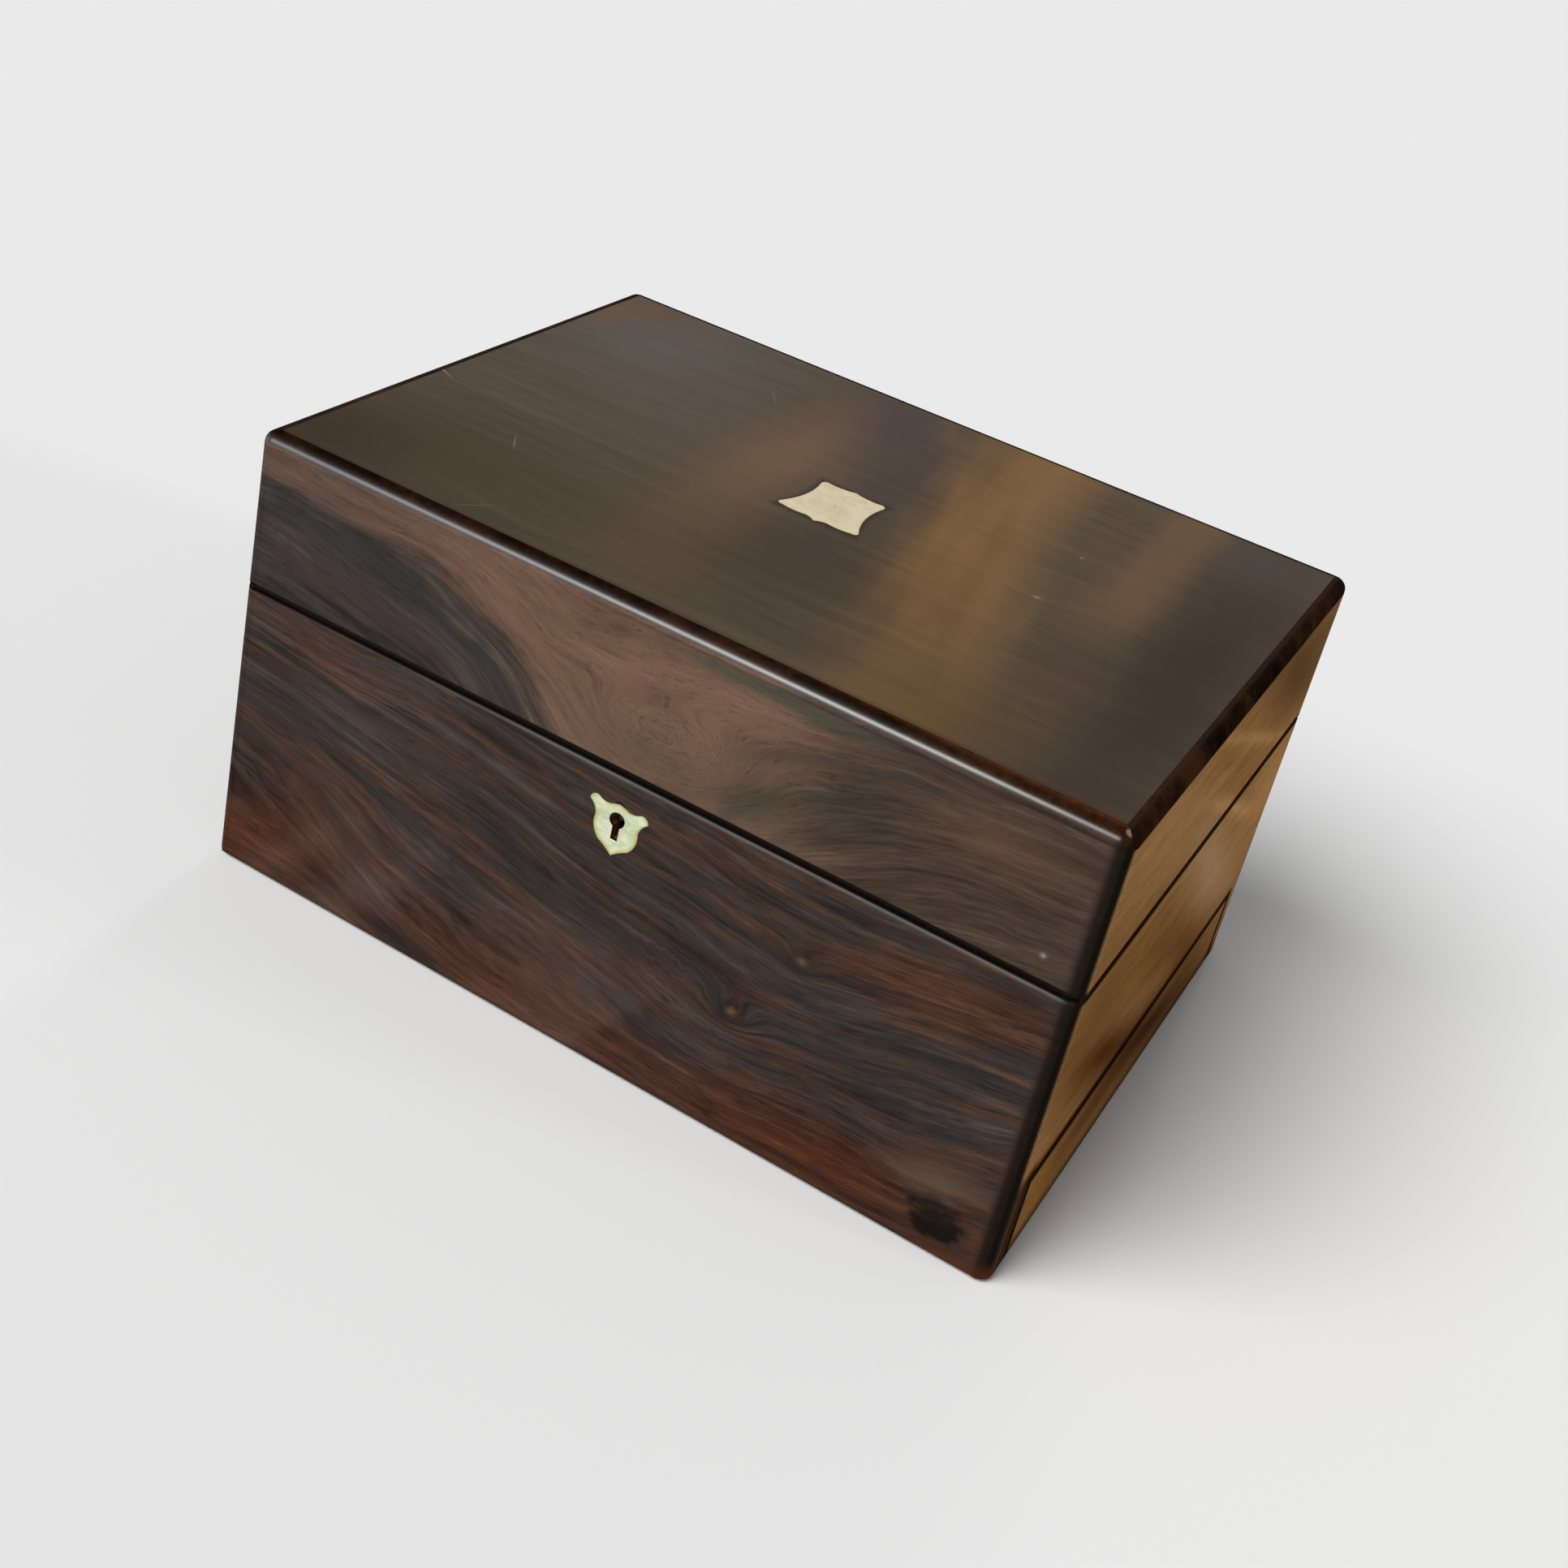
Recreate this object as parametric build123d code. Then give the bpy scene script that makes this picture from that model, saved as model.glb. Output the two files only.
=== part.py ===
from build123d import *
import os
from math import radians, tan

# A small Victorian toiletry box in rosewood: a base and a hinged lid, a lift-out tray, a mirror in
# the lid, a box lock behind a shell escutcheon and a flush side drawer that is held by a pin.
# Sizes are in millimetres. +X runs along the front to the right, +Y from front to back, +Z up.
# The origin is on the table, under the middle of the case.

# Gap under a piece that rests on another, and how far a cut runs past a face
REST_GAP = 0.3
PAST = 1.0

# Case
WIDTH = 305.0
DEPTH = 222.0
HEIGHT = 165.0
BASE_HEIGHT = 108.0
SEAM = 1.0
WALL = 10.0
TOP_BOARD = 9.0
BOTTOM_BOARD = 4.2
BAIZE = 0.8
BAIZE_INSET = 1.5
BAIZE_CORNER_R = 3.0
CORNER_R = 4.6
TOP_EDGE_R = 4.4
FOOT_EDGE_R = 1.2
ARRIS_R = 0.5
EDGING = 5.0

# Lining boards of the base, whose lip stands up inside the shut lid
LINER = 3.0
LIP = 3.5
LIP_CLEAR = 0.4
LIP_ROUND = 1.0
COMPARTMENT_FLOOR = 4.0
VELVET = 1.0

# Side drawer
DRAWER_HEIGHT = 32.4
SPRING_ROOM = 17.0
DRAWER_GAP = 0.4
DRAWER_RUN = 0.3
DRAWER_SIDE = 6.0
DRAWER_SIDE_HEIGHT = 27.0
DRAWER_END = 5.0
DRAWER_FLOOR = 3.0
DRAWER_PAD = 1.5
GUIDE = 3.0
HEADROOM = 0.6
DRAWER_EDGE_R = 0.5

# Leaf spring behind the drawer
SPRING_STRIP = 0.7
SPRING_HEIGHT = 12.0
SPRING_SPAN = 80.0
SPRING_GAP = 0.3

# Pin that locks the drawer
PIN_R = 1.5
PIN_FIT = 0.05
PIN_SLACK = 0.25
PIN_FROM_END = 24.5
PIN_TRAVEL = 8.0
PIN_HOLE_SPARE = 1.5
PIN_HEAD_R = 2.6
PIN_HEAD = 4.5
PIN_HEAD_ROUND = 0.85

# Tray
TRAY_HEIGHT = 32.0
TRAY_BELOW_RIM = 3.0
TRAY_CLEAR = 1.2
TRAY_WALL = 4.0
TRAY_FLOOR = 3.0
TRAY_PAD = 1.5
TRAY_DIVIDER = 3.0
TRAY_DIVIDER_DROP = 2.0
TRAY_SIDE_BAY = 72.0
LEFT_BAY_CELLS = 3
MIDDLE_BAY_FRONT = 104.0
RIGHT_BAY_CELLS = 2
SCOOP_R = 11.0
SCOOP_DEPTH = 8.0
LEDGE_WIDTH = 4.0
LEDGE_HEIGHT = 6.0

# Lid lining and mirror
LID_PAD = 5.0
LID_PAD_GAP = 0.5
MIRROR_FROM_END = 35.5
MIRROR_FROM_FRONT = 26.0
FRAME_WIDTH = 13.0
FRAME_THICK = 5.0
FRAME_ROUND = 1.8
GLASS = 2.0
GLASS_BACK = 0.5
GLASS_REBATE = 3.0
STUD_HEAD_R = 2.2
STUD_HEAD = 1.2
STUD_R = 0.9
STUD_BITE = 4.0

# Shell inlays, flush with the wood
INLAY = 1.2
SHIELD_WIDTH = 22.0
TABLET_WIDTH = 31.0
KEY_Z = 92.0
KEY_R = 2.75
KEY_SLOT = 2.5
KEY_SLOT_DROP = 7.2

# Box lock
LOCK_WIDTH = 46.0
LOCK_HEIGHT = 32.6
LOCK_DEPTH = 6.0
LOCK_SHEET = 1.0
SELVEDGE_WIDTH = 60.0
SELVEDGE_DEPTH = 8.0
SELVEDGE = 1.4
LOCK_PIN_R = 1.0
LOCK_PIN_LENGTH = 6.5
BOLT_THICK = 2.5
BOLT_BAR = 3.6
BOLT_FINGER = 3.0
BOLT_TRAVEL = 4.0
BOLT_SLIP = 0.1
BOLT_SIDE_GAP = 0.3
BOLT_STEM = 3.0
BOLT_REST = 0.2
KEY_CLEAR = 0.6
HOOK_X = (-14.0, 8.0)
HOOK_WIDTH = 6.0
HOOK_THICK = 2.0
HOOK_DROP = 9.5
HOOK_TIP = 1.6
HOOK_NOTCH = 4.2
HOOK_PLAY = 0.3
SLOT_PLAY = 0.6
LOCK_SPRING_STRIP = 0.5
LOCK_SPRING_SPAN = 8.0
LOCK_SPRING_RISE = 2.6
LOCK_SPRING_DEPTH = 1.8

# Stopped butt hinges
HINGE_FROM_END = 57.5
HINGE_LENGTH = 44.0
HINGE_OUT = 0.6
HINGE_REACH = 9.0
LEAF = 2.8
KNUCKLE_R = 2.4
KNUCKLE_CLEAR = 0.25
KNUCKLES = 5
KNUCKLE_END_GAP = 0.2
HINGE_PIN_R = 0.9
HINGE_PIN_FIT = 0.05
HINGE_BED_GAP = 0.2
STOP_ANGLE = 101.5

# Countersunk brass screws
SCREW_HEAD_R = 1.9
SCREW_HEAD = 1.4
SCREW_R = 0.95
SCREW_LENGTH = 9.0
SCREW_SLOT = 0.45
SCREW_SLOT_DEPTH = 0.5
SCREW_PITCH = 15.0
SCREW_Y_IN = 5.6

# Places worked out from the sizes
SIDE = WIDTH / 2
BACK = DEPTH / 2
INSIDE_X = SIDE - WALL
INSIDE_Y = BACK - WALL
LID_Z = BASE_HEIGHT + SEAM
LID_CEILING = HEIGHT - TOP_BOARD
BOTTOM_TOP = BAIZE + BOTTOM_BOARD
OPENING_TOP = BAIZE + DRAWER_HEIGHT + DRAWER_GAP
FLOOR_Z = OPENING_TOP + HEADROOM
FLOOR_TOP = FLOOR_Z + COMPARTMENT_FLOOR
WELL_X = INSIDE_X - LINER
WELL_Y = INSIDE_Y - LINER
OPENING_Y = INSIDE_Y - GUIDE
DRAWER_Y = OPENING_Y - DRAWER_GAP
DRAWER_Z = BOTTOM_TOP + DRAWER_RUN
DRAWER_BACK_X = -INSIDE_X + SPRING_ROOM
TRAY_X = WELL_X - TRAY_CLEAR
TRAY_Y = WELL_Y - TRAY_CLEAR
TRAY_TOP = BASE_HEIGHT - TRAY_BELOW_RIM
TRAY_Z = TRAY_TOP - TRAY_HEIGHT
TRAY_PAD_TOP = TRAY_Z + TRAY_FLOOR + TRAY_PAD
PAD_Z = LID_CEILING - LID_PAD
FRAME_Z = PAD_Z - FRAME_THICK
MIRROR_X = INSIDE_X - MIRROR_FROM_END
MIRROR_Y = INSIDE_Y - MIRROR_FROM_FRONT
HINGE_X = SIDE - HINGE_FROM_END
HINGE_Y = BACK + HINGE_OUT
HINGE_Z = BASE_HEIGHT + SEAM / 2
SCREW_Y = HINGE_Y - SCREW_Y_IN
LOCK_BACK_Y = -INSIDE_Y
LOCK_FRONT_Y = LOCK_BACK_Y - LOCK_DEPTH
LOCK_TOP = BASE_HEIGHT - SELVEDGE
BOLT_Y = LOCK_BACK_Y - LOCK_SHEET - BOLT_SLIP - BOLT_THICK
BOLT_Z = KEY_Z + LOCK_PIN_R + KEY_CLEAR
NOTCH_Z = LID_Z - HOOK_DROP + HOOK_TIP
FINGER_REACH = BOLT_SIDE_GAP + BOLT_TRAVEL + BOLT_STEM
SELVEDGE_SCREW_X = (SELVEDGE_WIDTH + LOCK_WIDTH) / 4
PIN_X = SIDE - PIN_FROM_END
PIN_Y = -(DRAWER_Y - DRAWER_SIDE / 2)


def block(x0, x1, y0, y1, z0, z1):
    """A box from its low and high sides."""
    middle = Pos((x0 + x1) / 2, (y0 + y1) / 2, (z0 + z1) / 2)
    return middle * Box(x1 - x0, y1 - y0, z1 - z0)


def rod(x, y, z0, z1, radius):
    """An upright cylinder from z0 to z1."""
    return Pos(x, y, (z0 + z1) / 2) * Cylinder(radius, z1 - z0)


def outer_form(z0, z1, low_r, high_r):
    """A case-sized block with its upright corners, foot and top edges rounded."""
    form = block(-SIDE, SIDE, -BACK, BACK, z0, z1)
    form = fillet(form.edges().filter_by(Axis.Z), CORNER_R)
    form = fillet(form.faces().sort_by(Axis.Z)[-1].edges(), high_r)
    return fillet(form.faces().sort_by(Axis.Z)[0].edges(), low_r)


def corner_posts(form, z0, z1):
    """The solid edging let into the four upright corners."""
    posts = []
    for side_x in (-1, 1):
        for side_y in (-1, 1):
            x0, x1 = sorted((side_x * (SIDE - EDGING), side_x * SIDE))
            y0, y1 = sorted((side_y * (BACK - EDGING), side_y * BACK))
            posts.append(form & block(x0, x1, y0, y1, z0, z1))
    return posts


def long_board(form, side, z0, z1, shelf_z):
    """A front (side -1) or back (side 1) board between the corner posts, rebated above shelf_z."""
    reach = SIDE - EDGING
    y0, y1 = sorted((side * INSIDE_Y, side * BACK))
    board = block(-reach, reach, y0, y1, z0, shelf_z)
    if z1 > shelf_z:
        y0, y1 = sorted((side * (BACK - EDGING), side * BACK))
        board += block(-reach, reach, y0, y1, shelf_z, z1)
    return form & board


def end_board(form, side, z0, z1, shelf_z):
    """A left (side -1) or right (side 1) board, lapped over the ends of the long boards."""
    x0, x1 = sorted((side * INSIDE_X, side * SIDE))
    board = block(x0, x1, -INSIDE_Y, INSIDE_Y, z0, shelf_z)
    reach = BACK - EDGING
    x0, x1 = sorted((side * (SIDE - EDGING), side * SIDE))
    board += block(x0, x1, -reach, reach, z0, z1)
    return form & board


def screw_body(x, y, z, up):
    """A countersunk screw with its flat head at z and its point up (1) or down (-1)."""
    outline = Polyline(
        (0, 0),
        (SCREW_HEAD_R, 0),
        (SCREW_R, SCREW_HEAD),
        (SCREW_R, SCREW_LENGTH - SCREW_R),
        (0, SCREW_LENGTH),
        close=True,
    )
    body = revolve(make_face(Plane.XZ * outline), Axis.Z)
    if up < 0:
        body = mirror(body, Plane.XY)
    return Pos(x, y, z) * body


def screw(x, y, z, up):
    """The screw with the slot across its head."""
    z0, z1 = sorted((z, z + up * SCREW_SLOT_DEPTH))
    reach = SCREW_HEAD_R
    slot = block(x - reach, x + reach, y - SCREW_SLOT / 2, y + SCREW_SLOT / 2, z0, z1)
    return screw_body(x, y, z, up) - slot


def symmetric_face(width, start, steps):
    """A flat figure that is alike on both sides of its upright middle line.

    steps go down the right side from start on the middle line: each holds a point that an arc
    passes through, or None for a straight stretch, and the point where it ends. Every point is
    given in half widths of the figure.
    """
    edges = []
    half = width / 2
    for side in (1, -1):
        here = start
        for through, end in steps:
            a = (side * half * here[0], half * here[1])
            b = (side * half * end[0], half * end[1])
            if through is None:
                edges.append(Line(a, b))
            else:
                middle = (side * half * through[0], half * through[1])
                edges.append(ThreePointArc(a, middle, b))
            here = end
    return make_face(edges)


FRONT_PLANE = Plane(origin=(0, -BACK, 0), x_dir=(1, 0, 0), z_dir=(0, -1, 0))
TOP_PLANE = Plane(origin=(0, 0, HEIGHT))


def shield_inlay():
    """The escutcheon: a small shield with two horns and a pointed foot, heights from the keyhole."""
    steps = [
        (None, (0.218, 0.518)),
        ((0.473, 0.455), (0.745, 0.555)),
        ((0.936, 0.491), (1.000, 0.327)),
        ((0.809, 0.109), (0.745, -0.127)),
        ((0.718, -0.545), (0.509, -0.873)),
        ((0.218, -1.045), (0.000, -1.218)),
    ]
    face = Pos(0, KEY_Z) * symmetric_face(SHIELD_WIDTH, (0.0, 0.618), steps)
    return extrude(FRONT_PLANE * face, INLAY, dir=(0, 1, 0))


def tablet_inlay():
    """The lid's tablet: hollow sides, four horns and a small point front and back."""
    steps = [
        ((0.142, 1.039), (0.271, 1.019)),
        ((0.484, 1.000), (0.697, 1.026)),
        ((0.781, 0.974), (0.806, 0.877)),
        ((0.755, 0.168), (1.000, -0.748)),
        ((0.968, -0.832), (0.877, -0.852)),
        ((0.568, -0.903), (0.271, -0.877)),
        ((0.129, -0.916), (0.000, -1.006)),
    ]
    face = symmetric_face(TABLET_WIDTH, (0.0, 1.090), steps)
    return extrude(TOP_PLANE * face, INLAY, dir=(0, 0, -1))


def keyhole(y0, y1):
    """The round hole and the slot below it, cut from y0 to y1."""
    hole = Pos(0, KEY_Z) * Circle(KEY_R)
    hole += Pos(0, KEY_Z - KEY_SLOT_DROP / 2) * Rectangle(KEY_SLOT, KEY_SLOT_DROP)
    plane = Plane(origin=(0, y0, 0), x_dir=(1, 0, 0), z_dir=(0, -1, 0))
    return extrude(plane * hole, y1 - y0, dir=(0, 1, 0))


def hinge_leaf(x, half):
    """One leaf of a stopped hinge at x: half -1 is let into the base and 1 into the lid.

    A thick plate lies in the rim, and its tail passes under the pin to a slanting face. The two
    slanting faces meet when the lid has turned through the stop angle.
    """
    flat = half * SEAM / 2
    deep = half * (SEAM / 2 + LEAF)
    tail = abs(deep) / tan(radians(STOP_ANGLE / 2))
    outline = Polyline(
        (-HINGE_REACH, flat),
        (-HINGE_REACH, deep),
        (tail, deep),
        (0, 0),
        (0, flat),
        close=True,
    )
    leaf = extrude(make_face(Plane.YZ * outline), HINGE_LENGTH, dir=(1, 0, 0))
    step = HINGE_LENGTH / KNUCKLES
    for i in range(KNUCKLES):
        own = (i % 2 == 0) == (half < 0)
        spare = KNUCKLE_END_GAP / 2 if own else 0
        radius = KNUCKLE_R if own else KNUCKLE_R + KNUCKLE_CLEAR
        length = step - 2 * spare
        barrel = Pos((i + 0.5) * step, 0, 0) * Rot(0, 90, 0) * Cylinder(radius, length)
        leaf = leaf + barrel if own else leaf - barrel
    bore = HINGE_PIN_R if half < 0 else HINGE_PIN_R + HINGE_PIN_FIT
    leaf -= Pos(HINGE_LENGTH / 2, 0, 0) * Rot(0, 90, 0) * Cylinder(bore, 2 * HINGE_LENGTH)
    leaf = Pos(x - HINGE_LENGTH / 2, HINGE_Y, HINGE_Z) * leaf
    for sx, sy, sz in hinge_screws(x, half):
        leaf -= screw_body(sx, sy, sz, half)
    return leaf


def hinge_screws(x, half):
    """Where the three screws of a leaf have their heads."""
    z = HINGE_Z + half * SEAM / 2
    return [(x + i * SCREW_PITCH, SCREW_Y, z) for i in (-1, 0, 1)]


def hinge_bed(x, half):
    """The housing for a leaf and its screws in a rim, open at the back."""
    reach = HINGE_LENGTH / 2 + HINGE_BED_GAP
    z0, z1 = sorted((HINGE_Z + half * SEAM / 2, HINGE_Z + half * (SEAM / 2 + LEAF)))
    bed = block(x - reach, x + reach, HINGE_Y - HINGE_REACH, BACK + PAST, z0, z1)
    for sx, sy, sz in hinge_screws(x, half):
        bed += screw_body(sx, sy, sz, half)
    return bed


def hinge_pin(x):
    """The pin that both leaves turn on, peened into the base's knuckles."""
    return Pos(x, HINGE_Y, HINGE_Z) * Rot(0, 90, 0) * Cylinder(HINGE_PIN_R, HINGE_LENGTH)


def bowed_strip(span, rise, strip, width):
    """A flat strip bent to an arc, lying on X with its ends on the axis and its crown at +Y."""
    outer = ThreePointArc((-span / 2, 0), (0, rise), (span / 2, 0))
    inner = ThreePointArc((-span / 2 + strip, 0), (0, rise - strip), (span / 2 - strip, 0))
    ends = [Line(outer @ 0, inner @ 0), Line(outer @ 1, inner @ 1)]
    face = make_face([outer, inner] + ends)
    return extrude(face, width / 2, both=True)


def lock_slots(y0, y1, play):
    """The slots in the lock's top plate, or the shafts under them, that take the lid's hooks."""
    slots = []
    for x in HOOK_X:
        slots.append(block(x - play, x + HOOK_WIDTH + play, y0, y1, LOCK_TOP, BASE_HEIGHT))
    return slots


def lock_screw_points(z):
    """The screws at the two ends of the lock's plates."""
    y = LOCK_BACK_Y - SELVEDGE_DEPTH / 2
    return [(-SELVEDGE_SCREW_X, y, z), (SELVEDGE_SCREW_X, y, z)]


def make_base(parts):
    """The case of the base, its lining boards and the boards between."""
    form = outer_form(BAIZE, BASE_HEIGHT, FOOT_EDGE_R, ARRIS_R)
    top = BASE_HEIGHT
    front = long_board(form, -1, BAIZE, top, top)
    reach = LOCK_WIDTH / 2
    front -= block(-reach, reach, LOCK_FRONT_Y, LOCK_BACK_Y, LOCK_TOP - LOCK_HEIGHT, top)
    reach = SELVEDGE_WIDTH / 2
    front -= block(-reach, reach, LOCK_BACK_Y - SELVEDGE_DEPTH, LOCK_BACK_Y, LOCK_TOP, top)
    for x, y, z in lock_screw_points(top):
        front -= screw_body(x, y, z, -1)
    front -= shield_inlay()
    front -= keyhole(-BACK, LOCK_BACK_Y)
    parts["base_front"] = front

    back = long_board(form, 1, BAIZE, top, top)
    for x in (-HINGE_X, HINGE_X):
        back -= hinge_bed(x, -1)
    parts["base_back"] = back

    parts["base_left"] = end_board(form, -1, BAIZE, top, top)
    opening = block(0, SIDE, -OPENING_Y, OPENING_Y, 0, OPENING_TOP)
    parts["base_right"] = end_board(form, 1, BAIZE, top, top) - opening
    parts["base_corner_edging"] = corner_posts(form, BAIZE, top)

    parts["base_bottom"] = block(
        -INSIDE_X, INSIDE_X - DRAWER_RUN, -INSIDE_Y, INSIDE_Y, BAIZE, BOTTOM_TOP
    )
    x0, x1 = -SIDE + BAIZE_INSET, INSIDE_X - BAIZE_INSET
    y1 = BACK - BAIZE_INSET
    pad = block(x0, x1, -y1, y1, 0, BAIZE)
    parts["baize_pad"] = fillet(pad.edges().filter_by(Axis.Z), BAIZE_CORNER_R)

    guides = []
    for y0, y1 in ((-INSIDE_Y, -OPENING_Y), (OPENING_Y, INSIDE_Y)):
        guides.append(block(-INSIDE_X, INSIDE_X, y0, y1, BOTTOM_TOP, FLOOR_Z))
    parts["drawer_guides"] = guides

    floor = block(-INSIDE_X, INSIDE_X, -INSIDE_Y, INSIDE_Y, FLOOR_Z, FLOOR_TOP)
    parts["compartment_floor"] = floor - rod(PIN_X, PIN_Y, FLOOR_Z, FLOOR_TOP, PIN_R + PIN_FIT)
    velvet = block(-WELL_X, WELL_X, -WELL_Y, WELL_Y, FLOOR_TOP, FLOOR_TOP + VELVET)
    parts["compartment_lining"] = velvet - rod(PIN_X, PIN_Y, 0, HEIGHT, PIN_R + PIN_SLACK)


def make_liners(parts):
    """Four thin boards inside the base, rounded on the lip that guides the lid, and the tray ledges."""
    top = BASE_HEIGHT + LIP
    ring = block(-INSIDE_X, INSIDE_X, -INSIDE_Y, INSIDE_Y, FLOOR_TOP, BASE_HEIGHT)
    lip_x = INSIDE_X - LIP_CLEAR
    lip_y = INSIDE_Y - LIP_CLEAR
    lip = block(-lip_x, lip_x, -lip_y, lip_y, BASE_HEIGHT, top)
    lip = fillet(lip.faces().sort_by(Axis.Z)[-1].edges(), LIP_ROUND)
    ring += lip
    ring -= block(-WELL_X, WELL_X, -WELL_Y, WELL_Y, FLOOR_TOP, top)
    z0, z1 = FLOOR_TOP, top
    parts["liner_front"] = ring & block(-INSIDE_X, INSIDE_X, -INSIDE_Y, -WELL_Y, z0, z1)
    parts["liner_back"] = ring & block(-INSIDE_X, INSIDE_X, WELL_Y, INSIDE_Y, z0, z1)
    parts["liner_left"] = ring & block(-INSIDE_X, -WELL_X, -WELL_Y, WELL_Y, z0, z1)
    parts["liner_right"] = ring & block(WELL_X, INSIDE_X, -WELL_Y, WELL_Y, z0, z1)
    z1 = TRAY_Z - REST_GAP
    z0 = z1 - LEDGE_HEIGHT
    ledges = []
    for x0, x1 in ((-WELL_X, -WELL_X + LEDGE_WIDTH), (WELL_X - LEDGE_WIDTH, WELL_X)):
        ledges.append(block(x0, x1, -WELL_Y, WELL_Y, z0, z1))
    parts["tray_ledges"] = ledges


def make_lid(parts):
    """The lid's boards and its solid edging, mitred round the top."""
    form = outer_form(LID_Z, HEIGHT, ARRIS_R, TOP_EDGE_R)
    shelf = HEIGHT - EDGING
    front = long_board(form, -1, LID_Z, shelf, LID_CEILING)
    reach = SELVEDGE_WIDTH / 2
    y0 = LOCK_BACK_Y - SELVEDGE_DEPTH
    front -= block(-reach, reach, y0, LOCK_BACK_Y, LID_Z, LID_Z + SELVEDGE)
    for x, y, z in lock_screw_points(LID_Z):
        front -= screw_body(x, y, z, 1)
    parts["lid_front"] = front

    back = long_board(form, 1, LID_Z, shelf, LID_CEILING)
    for x in (-HINGE_X, HINGE_X):
        back -= hinge_bed(x, 1)
    parts["lid_back"] = back
    parts["lid_left"] = end_board(form, -1, LID_Z, shelf, LID_CEILING)
    parts["lid_right"] = end_board(form, 1, LID_Z, shelf, LID_CEILING)
    parts["lid_corner_edging"] = corner_posts(form, LID_Z, shelf)

    x1, y1 = SIDE - EDGING, BACK - EDGING
    board = block(-x1, x1, -y1, y1, LID_CEILING, HEIGHT)
    board -= tablet_inlay()
    for x, y in stud_points():
        board -= rod(x, y, LID_CEILING, LID_CEILING + STUD_BITE, STUD_R)
    parts["lid_top"] = board

    edgings = {
        "front": [(-SIDE, -BACK), (SIDE, -BACK), (x1, -y1), (-x1, -y1)],
        "back": [(SIDE, BACK), (-SIDE, BACK), (-x1, y1), (x1, y1)],
        "left": [(-SIDE, BACK), (-SIDE, -BACK), (-x1, -y1), (-x1, y1)],
        "right": [(SIDE, -BACK), (SIDE, BACK), (x1, y1), (x1, -y1)],
    }
    for name, corners in edgings.items():
        mitred = make_face(Polyline(*corners, close=True))
        parts["lid_edging_" + name] = form & extrude(Pos(0, 0, shelf) * mitred, EDGING)


def stud_points():
    """Where four studs fix the mirror frame, in the middle of its corners."""
    x = MIRROR_X - FRAME_WIDTH / 2
    y = MIRROR_Y - FRAME_WIDTH / 2
    return [(-x, -y), (x, -y), (x, y), (-x, y)]


def make_mirror(parts):
    """The padded lining of the lid and the framed mirror fixed through it."""
    x1, y1 = INSIDE_X - LID_PAD_GAP, INSIDE_Y - LID_PAD_GAP
    pad = block(-x1, x1, -y1, y1, PAD_Z, LID_CEILING)
    frame = block(-MIRROR_X, MIRROR_X, -MIRROR_Y, MIRROR_Y, FRAME_Z, PAD_Z)
    frame = fillet(frame.faces().sort_by(Axis.Z)[0].edges(), FRAME_ROUND)
    x1, y1 = MIRROR_X - FRAME_WIDTH, MIRROR_Y - FRAME_WIDTH
    frame -= block(-x1, x1, -y1, y1, FRAME_Z, PAD_Z)
    glass_top = PAD_Z - GLASS_BACK
    x1, y1 = x1 + GLASS_REBATE, y1 + GLASS_REBATE
    frame -= block(-x1, x1, -y1, y1, glass_top - GLASS, PAD_Z)
    parts["mirror_glass"] = block(-x1, x1, -y1, y1, glass_top - GLASS, glass_top)

    studs = []
    dome_r = (STUD_HEAD_R**2 + STUD_HEAD**2) / (2 * STUD_HEAD)
    for x, y in stud_points():
        shank = rod(x, y, FRAME_Z, LID_CEILING + STUD_BITE, STUD_R)
        frame -= shank
        pad -= shank
        ball = Pos(x, y, FRAME_Z - STUD_HEAD + dome_r) * Sphere(dome_r)
        reach = 2 * dome_r
        cap = ball & block(x - reach, x + reach, y - reach, y + reach, FRAME_Z - reach, FRAME_Z)
        studs.append(shank + cap)
    parts["lid_lining"] = pad
    parts["mirror_frame"] = frame
    parts["mirror_studs"] = studs


def make_inlays(parts):
    """The two shell inlays, flush in the front and in the lid."""
    parts["escutcheon"] = shield_inlay() - keyhole(-BACK - PAST, -BACK + 2 * INLAY)
    parts["cartouche"] = tablet_inlay()


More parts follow.
